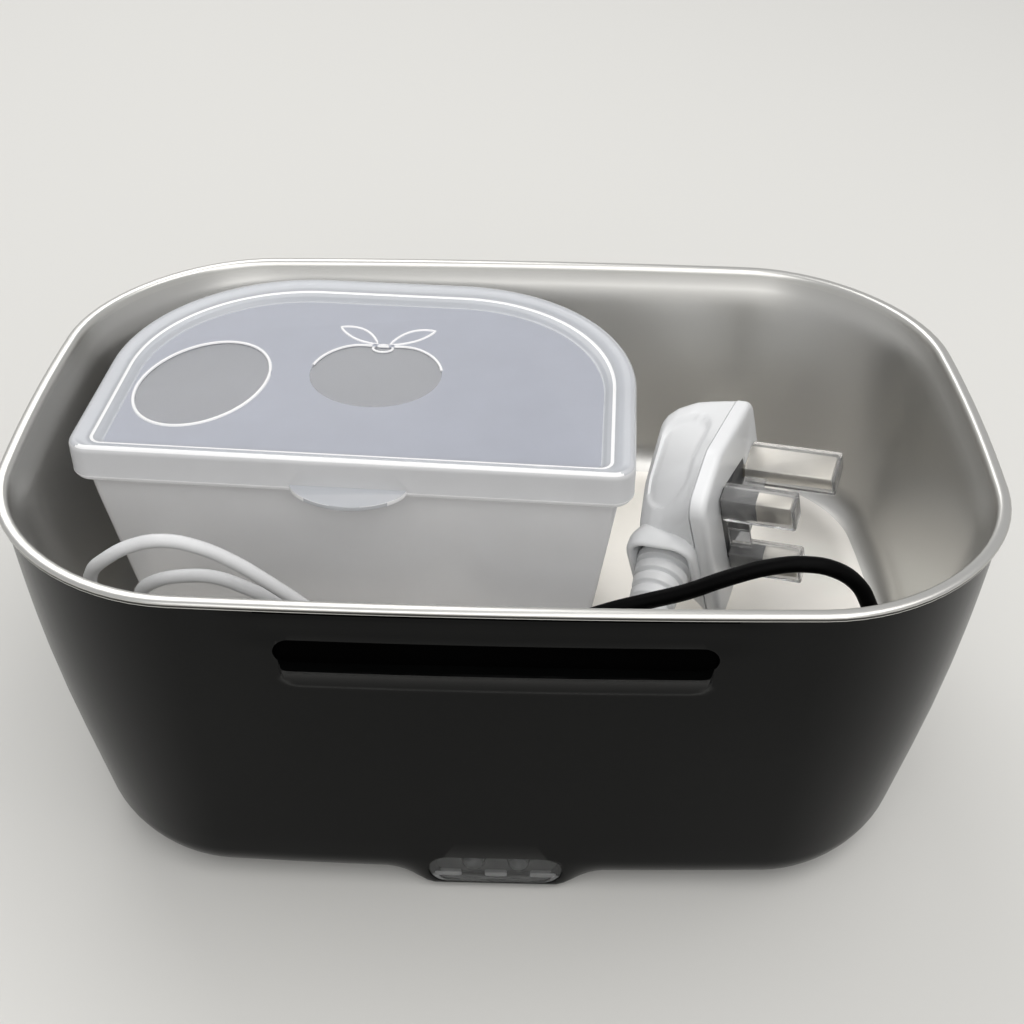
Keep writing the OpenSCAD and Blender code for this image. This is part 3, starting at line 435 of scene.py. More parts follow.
def finish(name, colour, roughness, drift=0.06, cloud_scale=45, relief=None, lines=None, edge=None,
           painted_highlight_colour=None, metallic=0.0, coordinates="Object", rough_drift=0.08, **plain):
    """A material whose colour, roughness and bump change over the surface.

    relief is the grain's (scale, depth), lines the hairlines' (along, across, depth),
    and plain holds fixed shader values."""
    paint = bpy.data.materials.new(name)
    paint.use_nodes = True
    tree = paint.node_tree
    shader = tree.nodes["Principled BSDF"]
    shader.inputs["Metallic"].default_value = metallic
    for label, number in plain.items():
        shader.inputs[label.replace("_", " ")].default_value = number
    where = tree.nodes.new("ShaderNodeTexCoord").outputs[coordinates]

    cloud = placed(tree, clouds, where, Scale=cloud_scale)["Amount"]
    tint = laid_over(tree, shade(colour, 1 - drift), shade(colour, 1 + drift), cloud)
    rough = ramp_in(tree, cloud, 0, 1, roughness * (1 - rough_drift), roughness * (1 + rough_drift))
    if edge:
        tint = laid_over(tree, tint, shade(edge, 1), placed(tree, rubbed, where)["Amount"])
    # painted_highlight_colour is a painted highlight laid over the colour along convex edges.
    if painted_highlight_colour:
        tint = laid_over(tree, tint, shade(painted_highlight_colour, 1), placed(tree, painted_edge_highlight)["Amount"])
    tree.links.new(tint, shader.inputs["Base Color"])
    tree.links.new(rough, shader.inputs["Roughness"])

    height = None
    if lines:
        along, across, depth = lines
        height = placed(tree, hairlines, where, Along=along, Across=across)["Height"]
    elif relief:
        scale, depth = relief
        height = placed(tree, grain, where, Scale=scale)["Height"]
    if height:
        bump = tree.nodes.new("ShaderNodeBump")
        bump.inputs["Strength"].default_value = BUMP_STRENGTH
        bump.inputs["Distance"].default_value = depth
        tree.links.new(height, bump.inputs["Height"])
        tree.links.new(bump.outputs["Normal"], shader.inputs["Normal"])
    return paint


def wear_it(piece, *finishes):
    """Puts the finishes into the piece's material slots."""
    piece.data.materials.clear()
    for paint in finishes:
        piece.data.materials.append(paint)


# %% [markdown]
# ## The finishes
#
# Moulded black plastic is satin with a fine grain. The tray is brushed stainless
# steel: a metal with high roughness across its hairlines. The side-dish box is
# polypropylene, which lets light through but scatters it, so it is part clear
# and part white, and its edges get a painted highlight for the light that they
# gather. The leads are soft plastic with a low sheen. Depths of grain and
# hairlines are in metres.

# %% Finishes of the case
case_black = finish("case black", (0.0018, 0.002, 0.002), 0.22, drift=0.12, relief=(2600, 0.00003),
                    edge=(0.03, 0.03, 0.03), Specular_IOR_Level=0.11)
# Painted shade: a deeper black without shine for the inside of the slot and the gap under the rim.
slot_painted_shade = finish("painted shade in the slot and gap", (0.001, 0.001, 0.001), 0.6, relief=(2600, 0.00003),
                    Specular_IOR_Level=0.0)
base_black = finish("base black", (0.018, 0.018, 0.018), 0.5, drift=0.15, relief=(1500, 0.00008))
tub_grey = finish("tub grey", (0.2, 0.2, 0.21), 0.45, relief=(1500, 0.00006))

# %% Finishes of the tray
brushed_steel = finish("brushed steel", (0.63, 0.625, 0.605), 0.34, drift=0.05, cloud_scale=25,
                       metallic=1.0, coordinates="UV", lines=(8.0, 2600.0, 0.000012), rough_drift=0.18)
# The floor is satin steel with its own hairlines, and its colour is painted much lighter than the walls'
# steel, standing in for the light on the floor that faces up.
floor_steel_painted_lighter = finish("tray floor steel, painted lighter", (0.98, 0.955, 0.91), 0.5, drift=0.05, cloud_scale=25,
                     metallic=1.0, lines=(30.0, 2400.0, 0.000012), rough_drift=0.15)
# Painted shade: a darker copy of the steel for the groove between the roll and the hem.
groove_painted_shade = finish("painted shade in the rim groove", (0.16, 0.158, 0.15), 0.4, drift=0.08, metallic=1.0,
                      lines=(10.0, 3200.0, 0.000008))
rim_steel = finish("rolled rim steel", (0.66, 0.655, 0.63), 0.30, drift=0.04, cloud_scale=60,
                   metallic=1.0, coordinates="UV", lines=(10.0, 3200.0, 0.000008), rough_drift=0.2)

# %% Finishes of clear plastic
# The border, the box's wall and the pin cover carry a painted highlight on their edges.
frost_panel = finish("frosted panel", (0.575, 0.60, 0.68), 0.42, drift=0.03, cloud_scale=60,
                     relief=(2200, 0.00004), Transmission_Weight=0.45, IOR=1.49)
frost_border = finish("frosted border", (0.72, 0.745, 0.79), 0.22, drift=0.02, cloud_scale=60,
                      relief=(900, 0.00001), painted_highlight_colour=(0.99, 0.99, 1.0), Transmission_Weight=0.42, IOR=1.49)
# The skirt is painted lighter than the border: its upright faces get a lighter copy of the frosted plastic,
# which stands in for the light that falls on them.
skirt_painted_lighter = finish("frosted skirt, painted lighter", (0.86, 0.865, 0.88), 0.2, drift=0.02, cloud_scale=60,
                     relief=(900, 0.00001), Transmission_Weight=0.3, IOR=1.49)
# A near-white finish: a painted highlight for the lid's edges, bead and ridges and for the box's flange.
painted_highlight_finish = finish("painted highlight on the plastic's edges", (0.96, 0.96, 0.97), 0.2, drift=0.01, cloud_scale=60,
                  Transmission_Weight=0.05, IOR=1.49)
clear_window = finish("clear window", (0.49, 0.50, 0.53), 0.12, drift=0.03, cloud_scale=50,
                      Transmission_Weight=0.72, IOR=1.49)
box_clear = finish("clear wall", (0.97, 0.97, 0.98), 0.16, drift=0.02, cloud_scale=40,
                   painted_highlight_colour=(1.0, 1.0, 1.0), Transmission_Weight=0.16, IOR=1.49)
cover_clear = finish("pin cover clear", (0.86, 0.86, 0.86), 0.1, drift=0.02, cloud_scale=90,
                     painted_highlight_colour=(0.95, 0.95, 0.95), Transmission_Weight=0.9, IOR=1.3)

# %% Finishes of the plug
plug_white = finish("plug white", (0.80, 0.81, 0.82), 0.32, drift=0.02, relief=(2200, 0.00002),
                    edge=(0.86, 0.87, 0.88), Coat_Weight=0.1)
dark_grey = finish("dark grey plastic", (0.045, 0.047, 0.05), 0.5, drift=0.1, relief=(2000, 0.00005))
sleeve_grey = finish("sleeve grey", (0.03, 0.031, 0.031), 0.42, drift=0.08, relief=(2000, 0.00004))
nickel = finish("nickel", (0.80, 0.76, 0.68), 0.4, drift=0.05, cloud_scale=150, metallic=1.0,
                edge=(0.85, 0.83, 0.78), lines=(120.0, 4200.0, 0.000006))

# %% Finishes of the inner pieces
plated = finish("plated steel", (0.62, 0.62, 0.60), 0.28, drift=0.08, cloud_scale=120, metallic=1.0)
aluminium = finish("heater aluminium", (0.72, 0.72, 0.73), 0.4, drift=0.06, cloud_scale=80, metallic=1.0,
                   lines=(40.0, 2600.0, 0.000012))
silicone = finish("silicone", (0.42, 0.08, 0.05), 0.6, relief=(1800, 0.00003))
ceramic = finish("ceramic", (0.75, 0.72, 0.64), 0.55, relief=(2600, 0.00004))
phenolic = finish("phenolic", (0.16, 0.10, 0.06), 0.45, drift=0.15, cloud_scale=200,
                  relief=(2200, 0.00004))
board_green = finish("board green", (0.02, 0.14, 0.06), 0.35, drift=0.1, relief=(900, 0.00003))
lamp_grey = finish("lamp resin", (0.25, 0.255, 0.255), 0.3, drift=0.05, cloud_scale=200,
                   Transmission_Weight=0.3)
lens_clear = finish("lens clear", (0.62, 0.63, 0.63), 0.06, drift=0.05, cloud_scale=200,
                    Transmission_Weight=0.96, IOR=1.35)
# A painted highlight: a light grey for the flats behind the window, much lighter than the guide.
facet_painted_highlight = finish("painted highlight on the lens facets", (0.5, 0.5, 0.5), 0.3, drift=0.08, cloud_scale=250)
guide_grey = finish("light guide grey", (0.05, 0.051, 0.051), 0.3, drift=0.1, cloud_scale=250,
                    relief=(1500, 0.00003))
rubber = finish("rubber", (0.03, 0.03, 0.03), 0.75, drift=0.15, relief=(1200, 0.0001))
wire_red = finish("red wire skin", (0.45, 0.03, 0.02), 0.4, relief=(1500, 0.00003))
wire_black = finish("black wire skin", (0.012, 0.012, 0.012), 0.4, relief=(1500, 0.00003))
brass = finish("brass", (0.72, 0.52, 0.22), 0.26, drift=0.08, cloud_scale=150, metallic=1.0)

# %% Finishes of the leads
cord_white = finish("white cord skin", (0.70, 0.705, 0.715), 0.42, drift=0.04, cloud_scale=180,
                    relief=(1600, 0.00004))
cord_black = finish("black cord skin", (0.001, 0.001, 0.0011), 0.45, drift=0.2, cloud_scale=180,
                    relief=(1400, 0.00006), Specular_IOR_Level=0.05)
connector_white = finish("connector white", (0.74, 0.75, 0.76), 0.4, drift=0.03, relief=(1800, 0.00005))
wear_it(mains_cord, cord_white)
wear_it(car_cord, cord_black)
print("materials, with those of the loaded model:", len(bpy.data.materials))

# %% [markdown]
# ## Modelling by rings
#
# The case, the tray and the side-dish box are all one outline that changes as it
# rises. By hand this is a circle with enough points, moved onto the outline, and
# then extruded once for each change of height or size. The helper below does
# that: it starts from a circle, extrudes its open edge, and puts each new ring in
# its place. A closed section is made by ending on the first ring and merging.

# %% Ring modelling
def only(piece):
    """Selects one object and nothing else."""
    bpy.ops.object.select_all(action="DESELECT")
    piece.select_set(True)
    bpy.context.view_layer.objects.active = piece


def ringed(name, rings, closed=False, unwrap=False):
    """Extrudes a circle through the rings, lists of points in mm, and closes what is left open."""
    bpy.ops.object.select_all(action="DESELECT")
    bpy.ops.mesh.primitive_circle_add(vertices=len(rings[0]), radius=0.01)
    piece = bpy.context.object
    piece.name = piece.data.name = name
    bpy.ops.object.mode_set(mode="EDIT")
    mesh = bmesh.from_edit_mesh(piece.data)
    place, level = mesh.verts.layers.int.new("place"), mesh.verts.layers.int.new("level")
    for i, vertex in enumerate(mesh.verts):
        vertex[place] = i
        vertex.co = Vector(rings[0][i]) * MM
    stops = rings[1:] + ([rings[0]] if closed else [])
    for number, ring in enumerate(stops, 1):
        bmesh.update_edit_mesh(piece.data)
        bpy.ops.mesh.extrude_region_move()
        mesh = bmesh.from_edit_mesh(piece.data)
        place, level = mesh.verts.layers.int["place"], mesh.verts.layers.int["level"]
        for vertex in mesh.verts:
            if vertex.select:
                vertex.co = Vector(ring[vertex[place]]) * MM
                vertex[level] = number
    bmesh.update_edit_mesh(piece.data)
    if unwrap:
        unrolled(mesh, [rings[0]] + stops)
        bmesh.update_edit_mesh(piece.data)
    bpy.ops.mesh.select_all(action="SELECT")
    if closed:
        bpy.ops.mesh.remove_doubles(threshold=1e-6)
    else:
        bpy.ops.mesh.select_all(action="DESELECT")
        bpy.ops.mesh.select_mode(type="EDGE")
        bpy.ops.mesh.select_non_manifold()
        bpy.ops.mesh.fill_holes(sides=0)
        bpy.ops.mesh.select_mode(type="VERT")
        bpy.ops.mesh.select_all(action="SELECT")
    bpy.ops.mesh.normals_make_consistent(inside=False)
    bpy.ops.object.mode_set(mode="OBJECT")
    return piece


def unrolled(mesh, rings):
    """A UV map in metres: the first axis runs round the ring and the second up the wall."""
    place, level = mesh.verts.layers.int["place"], mesh.verts.layers.int["level"]
    chart = mesh.loops.layers.uv.new("round and up")
    count = len(rings[0])
    widest = max(rings, key=lambda ring: max(p[0] for p in ring))
    rounds, ups = [0.0], [0.0]
    for a, b in zip(widest, widest[1:] + widest[:1]):
        rounds.append(rounds[-1] + (Vector(b) - Vector(a)).length * MM)
    for a, b in zip(rings, rings[1:]):
        ups.append(ups[-1] + (Vector(a[0]) - Vector(b[0])).length * MM)
    for face in mesh.faces:
        at_seam = {v[place] for v in face.verts} >= {0, count - 1}
        for corner in face.loops:
            spot = corner.vert[place]
            if at_seam and spot == 0:
                spot = count
            corner[chart].uv = (rounds[spot], ups[corner.vert[level]])


def smoothed(piece, angle):
    """Smooth shading, except at edges that are sharper than the angle in degrees."""
    only(piece)
    bpy.ops.object.shade_smooth_by_angle(angle=math.radians(angle))


def combined(piece, other, operation="UNION"):
    """Adds or cuts the other closed mesh, which is used up."""
    only(piece)
    joint = piece.modifiers.new("combine", "BOOLEAN")
    joint.operation = operation
    joint.solver = "EXACT"
    joint.object = other
    bpy.ops.object.modifier_apply(modifier=joint.name)
    bpy.data.objects.remove(other)


def stands_for(piece, body, *solids):
    """Lets a piece ride on a body in the place of its solids."""
    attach(piece, body)
    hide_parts(*solids)
    print(f"{piece.name}: {len(piece.data.polygons)} faces, stands for {', '.join(solids)}")


def dressed(piece, angle, paint, body, *solids):
    """The last steps of a piece with one finish."""
    smoothed(piece, angle)
    wear_it(piece, paint)
    stands_for(piece, body, *solids)


# %% [markdown]
# ## The outline of the case
#
# Seen from above the case is a rounded rectangle whose sides bow outwards a
# little. Every ring of the case and of the tray is this outline, moved inwards.
# The long sides get more points where the front wall has detail: at the two
# edges of the nose and at the ends of the slot and of its lip.

# %% Outline of the case
CASE_LENGTH, CASE_DEPTH, CASE_HEIGHT = 230, 151.3, 102.3
CORNER, BOW_LONG, BOW_SHORT = 45.2, 3.1, 5.5
RIM_WIDTH, SHELL_LEAN = 3.0, 10.2
WALL_SLOPE = SHELL_LEAN / CASE_HEIGHT

half_run = CASE_LENGTH / 2 - CORNER
right_stops = [
    5, 10, 14, 16, 18, 20, 22, 24, 26, 28, 30, 34, 38, 40, 41, 42, 43, 44, 45, 46, 47, 48, 49, 50.4, 50.8,
    52, 56, 62,
]
long_stops = [-x for x in reversed(right_stops)] + [0] + right_stops
QUARTERS = (3, 2, 1, 0, -1, -2, -3)
CORNER_STEPS = 18


def corner_points(x, y, radius, start, steps):
    """A quarter of a circle round the corner's centre, from the angle start on."""
    turns = [start + math.pi / 2 * i / steps for i in range(steps + 1)]
    return [(x + radius * math.cos(t), y + radius * math.sin(t)) for t in turns]


def case_outline(inset):
    """Points of the case's outline in mm, moved inwards by inset."""
    a, b = CASE_LENGTH / 2 - inset, CASE_DEPTH / 2 - inset
    radius = max(CORNER - inset, 5)
    run, rise = a - radius, b - radius
    points = corner_points(run, rise, radius, 0, CORNER_STEPS)
    points += [(-x * run / half_run, b) for x in long_stops]
    points += corner_points(-run, rise, radius, math.pi / 2, CORNER_STEPS)
    points += [(-a, rise * k / 4) for k in QUARTERS]
    points += corner_points(-run, -rise, radius, math.pi, CORNER_STEPS)
    points += [(x * run / half_run, -b) for x in long_stops]
    points += corner_points(run, -rise, radius, 1.5 * math.pi, CORNER_STEPS)
    points += [(a, rise * k / 4) for k in reversed(QUARTERS)]
    bowed = []
    for x, y in points:
        u, v = abs(x) / a, abs(y) / b
        in_x, in_y = BOW_SHORT * v * v * u, BOW_LONG * u * u * v
        bowed.append((x - math.copysign(in_x, x), y - math.copysign(in_y, y)))
    return bowed


def case_ring(inset, z):
    return [(x, y, z) for x, y in case_outline(inset)]


print("points in each ring:", len(case_outline(0)))

# %% [markdown]
# ## The outer shell
#
# The shell is one moulding: walls that lean in towards the table, a rounded
# bottom edge, and a nose at the front that holds the indicator. The front wall
# carries a long slot for the clip of the outer lid, with a soft lip below it and
# a shallow flat above it, which ends in a gap under the rim. The two ends of the
# case swell a little halfway up. All this relief belongs to the same skin, so it
# is made by moving the points of the wall, and only the slot and the openings
# are cut.

# %% Sizes of the shell
FOOT, BOTTOM_RADIUS, SHELL_WALL = 1.2, 13.5, 2.0
BASE_INSET, LEDGE_INSET, LEDGE = 24.5, 36, 3.2
SLOT_HIGH, SLOT_LENGTH, SLOT_HEIGHT, SLOT_DEPTH = 87.3, 93, 7.5, 1.6
LIP_OUT, LIP_HEIGHT, LIP_HALF, LIP_CORNER = 2.0, 7, 45.6, 3.6
FLAT_HALF, FLAT_DEPTH, GAP_LOW, GAP_DEPTH = 50.6, 0.45, 98.2, 0.9
NOSE_HALF, NOSE_FADE, NOSE_EDGE = 27.5, 13, 2.2
RELIEF_HALF = 69
BULGE_FROM, BULGE, BULGE_START, BULGE_FADE = 20, 1.7, 60, 45
side_angle = math.pi / 2 - math.atan(WALL_SLOPE)
shell_top = CASE_HEIGHT - 1


def shell_inset(z):
    """How far the wall's face is inside the rim's outline."""
    return RIM_WIDTH * 0.4 + (CASE_HEIGHT - z) * WALL_SLOPE


def front_wall(z):
    """Where the front wall's face is in its middle."""
    return shell_inset(z) - CASE_DEPTH / 2


round_z = FOOT + BOTTOM_RADIUS
round_top = round_z - BOTTOM_RADIUS * math.cos(side_angle)
round_inset = shell_inset(round_top) + BOTTOM_RADIUS * math.sin(side_angle)


def rounded_edge(radius, steps):
    """The section of the bottom edge, from the floor up."""
    turns = [side_angle * i / steps for i in range(steps + 1)]
    return [(round_inset - radius * math.sin(t), round_z - radius * math.cos(t)) for t in turns]


print("bottom edge in mm: inset", round(round_inset, 2), "up to", round(round_top, 2))

# %% Relief of the wall
LIP_FADE_LOW, LIP_FADE, LIP_EDGE, LIP_LEAST, LIP_CURVE = SLOT_HIGH - 2.5, 3.2, 0.8, 0.25, 2.2
lip_low = SLOT_HIGH - SLOT_HEIGHT / 2 - LIP_HEIGHT


def lip_relief(x, z):
    """How far the lip stands out of the front wall: least at its lower edge, most under the slot."""
    across = max(abs(x) - (LIP_HALF - LIP_CORNER), 0)
    down = max(lip_low + LIP_CORNER - z, 0)
    inside = LIP_CORNER - math.hypot(across, down)
    fade = 1 - eased((z - LIP_FADE_LOW) / LIP_FADE)
    rise = min(max((z - lip_low) / LIP_HEIGHT, 0), 1)
    share = LIP_LEAST + (1 - LIP_LEAST) * rise ** LIP_CURVE
    return LIP_OUT * eased(inside / LIP_EDGE) * share * fade


def flat_relief(x, z):
    """How deep the shallow flat above the slot is, with a gap under the rim."""
    if abs(x) > FLAT_HALF:
        return 0
    return FLAT_DEPTH * eased((z - SLOT_HIGH - 1) / 6) + GAP_DEPTH * eased((z - GAP_LOW) / 1.2)


def bulge(z):
    """How far the two ends of the case swell above BULGE_FROM and tuck in below it."""
    turn = math.pi / (shell_top - BULGE_FROM)
    above = z - BULGE_FROM
    return BULGE * math.sin(turn * above) if above > 0 else BULGE * turn * above


def nose_share(x):
    """1 on the nose, and 0 past its soft flanks."""
    return eased((NOSE_HALF - abs(x)) / NOSE_FADE)


def outer_ring(inset, z):
    """A ring of the shell's outer face, with the front wall's relief."""
    ring = []
    for x, y in case_outline(inset):
        if y < 0 and abs(x) < RELIEF_HALF:
            nose = front_wall(z)
            edge = FOOT + NOSE_EDGE - z
            if edge > 0:
                nose += NOSE_EDGE - math.sqrt(max(NOSE_EDGE ** 2 - edge ** 2, 0))
            if z < round_z and nose < y:
                y += (nose - y) * nose_share(x)
            y += flat_relief(x, z) - lip_relief(x, z)
        x += bulge(z) * math.copysign(eased((abs(x) - BULGE_START) / BULGE_FADE), x)
        ring.append((x, y, z))
    return ring


print("lip in mm, under the slot and at its foot:", round(lip_relief(0, 83), 2), round(lip_relief(0, 77), 2))

# %% Shell
slot_levels = [76.3 + 0.42 * i for i in range(28)]
wall_levels = [20, 34, 48, 62, 72, 75.5] + slot_levels + [89, 91, 93, 95, 97, 98.5, 99.6]
outer = [(BASE_INSET, FOOT)] + rounded_edge(BOTTOM_RADIUS, 14) + [(shell_inset(z), z) for z in wall_levels]
outer += [(shell_inset(shell_top - 0.8), shell_top - 0.8), (shell_inset(shell_top) + 0.1, shell_top - 0.25),
          (shell_inset(shell_top) + 0.35, shell_top)]
inner = [(RIM_WIDTH - 1.05, shell_top), (shell_inset(shell_top - 5.3) + SHELL_WALL, shell_top - 5.3)]
inner += [p for p in reversed(rounded_edge(BOTTOM_RADIUS - SHELL_WALL, 8)) if p[1] > LEDGE + 2.4]
inner += [(BASE_INSET - 4, LEDGE + 2), (LEDGE_INSET, LEDGE + 2), (LEDGE_INSET, LEDGE), (BASE_INSET, LEDGE)]
shell_rings = [outer_ring(*p) for p in outer] + [case_ring(*p) for p in inner]
shell = ringed("case_shell", shell_rings, closed=True)
print("shell rings:", len(outer) + len(inner))

# %% [markdown]
# The slot, the seat of the indicator window and the two sockets are cut with
# closed shapes that have round ends. Each cutter starts as a plane in the wall's
# direction: its corners are bevelled until the ends are round, and it is
# extruded through the wall. The slot's new edge then gets a small bevel. The
# inside of the slot and the gap under the rim get a painted shade, a deeper
# black without shine, because little light finds its way into them.

# %% Cutting the shell
def bar(name, middle, length, height, depth):
    """A closed bar along X with round ends, which stands from y to y + depth; all in mm."""
    x, y, z = middle
    bpy.ops.object.select_all(action="DESELECT")
    bpy.ops.mesh.primitive_plane_add(size=MM, location=(0, 0, 0), rotation=(math.pi / 2, 0, 0))
    piece = bpy.context.object
    piece.name = name
    bpy.ops.object.transform_apply(location=False, rotation=True, scale=False)
    bpy.ops.object.mode_set(mode="EDIT")
    bpy.ops.transform.resize(value=(length, 1, height))
    bpy.ops.mesh.bevel(offset=height / 2 * MM * 0.999, segments=14, affect="VERTICES")
    bpy.ops.mesh.remove_doubles(threshold=1e-6)
    bpy.ops.mesh.extrude_region_move(TRANSFORM_OT_translate={"value": (0, depth * MM, 0)})
    bpy.ops.mesh.select_all(action="SELECT")
    bpy.ops.transform.translate(value=(x * MM, y * MM, z * MM))
    bpy.ops.mesh.normals_make_consistent(inside=False)
    bpy.ops.object.mode_set(mode="OBJECT")
    return piece


def post(name, place, radius, depth, sides=48, along=(0, 0, 1)):
    """A closed round post that starts at the place and goes along a direction; all in mm."""
    turn = Vector(along).to_track_quat("Z", "Y")
    middle = Vector(place) + turn @ Vector((0, 0, depth / 2))
    bpy.ops.object.select_all(action="DESELECT")
    bpy.ops.mesh.primitive_cylinder_add(vertices=sides, radius=radius * MM, depth=depth * MM,
                                        location=middle * MM, rotation=turn.to_euler())
    piece = bpy.context.object
    piece.name = name
    bpy.ops.object.transform_apply(location=True, rotation=True, scale=True)
    return piece


def bevelled_where(piece, chosen, width, segments=2):
    """Bevels the sharp edges whose middle the test chooses; the test gets mm."""
    only(piece)
    bpy.ops.object.mode_set(mode="EDIT")
    bpy.ops.mesh.select_mode(type="EDGE")
    bpy.ops.mesh.select_all(action="DESELECT")
    mesh = bmesh.from_edit_mesh(piece.data)
    picked = 0
    for edge in mesh.edges:
        middle = (edge.verts[0].co + edge.verts[1].co) / 2 / MM
        if chosen(middle) and edge.is_manifold and edge.calc_face_angle(0) > math.radians(40):
            edge.select_set(True)
            picked += 1
    bmesh.update_edit_mesh(piece.data)
    if picked:
        bpy.ops.mesh.bevel(offset=width * MM, segments=segments, affect="EDGES", clamp_overlap=True)
    bpy.ops.mesh.select_mode(type="VERT")
    bpy.ops.object.mode_set(mode="OBJECT")
    return picked


# %% Slot
EDGE_REACH = 0.5
slot_face = front_wall(SLOT_HIGH)
pad = bar("slot_pad", (0, slot_face + 1.2, SLOT_HIGH), SLOT_LENGTH + 2, SLOT_HEIGHT + 2, SLOT_DEPTH - 0.4)
combined(shell, pad)
slot = bar("slot", (0, slot_face - 6, SLOT_HIGH), SLOT_LENGTH, SLOT_HEIGHT, SLOT_DEPTH + 6)
combined(shell, slot, "DIFFERENCE")


def near_slot(spot):
    """Whether a place in mm is on the slot's outer edge."""
    across, up = abs(spot.x) - SLOT_LENGTH / 2, abs(spot.z - SLOT_HIGH) - SLOT_HEIGHT / 2
    return across < EDGE_REACH and up < EDGE_REACH and spot.y < slot_face + 0.6


print("bevelled edges of the slot:", bevelled_where(shell, near_slot, 0.5))

# %% Seat of the window, sockets and screw holes
LENS_HIGH, LENS_LENGTH, LENS_HEIGHT = 8.4, 33, 10.4
MAINS_AT, CAR_AT, SOCKET_HIGH = -24, 20, 20
MAINS_WIDE, MAINS_HIGH, CAR_HOLE = 20.6, 11.6, 5.3
SCREW_AT, SCREW_HOLE = (76, 39), 1.8
lens_face = front_wall(LENS_HIGH)
LENS_SEAT = lens_face + 3.2
socket_face = -front_wall(SOCKET_HIGH)


def near_lens(spot):
    """Whether a place in mm is on the outer edge of the window's seat."""
    across, up = abs(spot.x) - LENS_LENGTH / 2, abs(spot.z - LENS_HIGH) - LENS_HEIGHT / 2
    return across < EDGE_REACH and up < EDGE_REACH and spot.y < lens_face + 1.6


lens_seat = bar("lens_seat", (0, lens_face - 6, LENS_HIGH), LENS_LENGTH, LENS_HEIGHT, 9.2)
lamp_way = bar("lamp_way", (0, LENS_SEAT - 1, LENS_HIGH), LENS_LENGTH - 3, LENS_HEIGHT - 3, 20)
for cutter in (lens_seat, lamp_way):
    combined(shell, cutter, "DIFFERENCE")
print("bevelled edges of the seat:", bevelled_where(shell, near_lens, 0.3))
cutters = [bar("mains_way", (MAINS_AT, socket_face - 6, SOCKET_HIGH), MAINS_WIDE, MAINS_HIGH, 12),
           post("car_way", (CAR_AT, socket_face - 6, SOCKET_HIGH), CAR_HOLE, 12, along=(0, 1, 0))]
for sx in (-1, 1):
    for sy in (-1, 1):
        place = (sx * SCREW_AT[0], sy * SCREW_AT[1], LEDGE - 1)
        cutters.append(post("screw_way", place, SCREW_HOLE, 4, 24))
for cutter in cutters:
    combined(shell, cutter, "DIFFERENCE")
smoothed(shell, 34)

# %% The case's black, and the painted shade in its slot and gap
def in_painted_shade(spot):
    """Whether a place in mm is inside the slot or in the gap under the rim, where the shade is painted."""
    bowed_face = front_wall(spot.z) + BOW_LONG * (spot.x / (CASE_LENGTH / 2)) ** 2
    past_end = max(abs(spot.x) - (SLOT_LENGTH - SLOT_HEIGHT) / 2, 0)
    inside_outline = math.hypot(past_end, spot.z - SLOT_HIGH) < SLOT_HEIGHT / 2 + 0.1
    in_slot = inside_outline and bowed_face + 0.3 < spot.y < bowed_face + 2
    in_gap = spot.y < 0 and abs(spot.x) < FLAT_HALF + 0.2 and spot.z > GAP_LOW + 0.4
    return in_slot or in_gap


wear_it(shell, case_black, slot_painted_shade)
# Faces in the slot and the gap take the painted shade.
for face in shell.data.polygons:
    if in_painted_shade(face.center / MM):
        face.material_index = 1
stands_for(shell, "housing", "outer_shell")

# %% [markdown]
# ## The steel tray
#
# The tray is pressed from thin sheet: a flat floor, a wide fillet, a wall that
# leans outwards, a small shoulder, and a rim that is rolled over the edge of the
# shell. The roll ends in a small hem, and the groove between the two gets a
# painted shade, a darker copy of the steel, which keeps it dark in any light.
# The hairlines run round the tray, so the rings get a UV map whose first axis
# runs round it.

# %% Steel tray
SHEET, TRAY_FILLET, SHOULDER, SHOULDER_DROP, TRAY_SLOPE = 0.6, 10, 2.4, 4.3, 0.106
tray_angle = math.pi / 2 - math.atan(TRAY_SLOPE)


def tray_inset(z):
    """How far the tray's wall is inside the rim's outline."""
    return RIM_WIDTH + SHOULDER + (CASE_HEIGHT - SHOULDER_DROP - z) * TRAY_SLOPE


fillet_top = TRAY_FLOOR + TRAY_FILLET * (1 - math.cos(tray_angle))
fillet_inset = tray_inset(fillet_top) + TRAY_FILLET * math.sin(tray_angle)
fillet_z = TRAY_FLOOR + TRAY_FILLET


def tray_fillet(radius, steps):
    """The section of the fillet, from the floor up."""
    turns = [tray_angle * i / steps for i in range(steps + 1)]
    return [(fillet_inset - radius * math.sin(t), fillet_z - radius * math.cos(t)) for t in turns]


top = CASE_HEIGHT
neck = [(3.3, top - 2.2), (3.7, top - 3.4), (4.3, top - 5), (5.2, top - 7), (5.9, top - 10.3)]
under = tray_fillet(TRAY_FILLET + SHEET, 8) + [(i - SHEET, z) for i, z in reversed(neck)]
under += [(RIM_WIDTH - SHEET, top - 1.5), (RIM_WIDTH - SHEET - 0.3, top - 0.7), (SHEET + 0.3, top - 0.7),
          (SHEET, top - 0.9), (SHEET, top - 1.5)]
hem = [(0.5, 1.65), (0.3, 1.65), (0.2, 1.55), (0.2, 1.4), (0.4, 1.3), (0.4, 1.12)]
roll = [(0.18, 1), (0.04, 0.85), (0, 0.65), (0.1, 0.42), (0.38, 0.2), (0.85, 0.06), (1.5, 0), (2.15, 0.1),
        (2.58, 0.36), (2.88, 0.8), (3.05, 1.4)]
over = neck + [(tray_inset(z), z) for z in (88, 80, 70, 60)] + list(reversed(tray_fillet(TRAY_FILLET, 12)))
profile = under + [(inset, top - down) for inset, down in hem + roll] + over
tray = ringed("tray_liner", [case_ring(*p) for p in profile], unwrap=True)
smoothed(tray, 40)

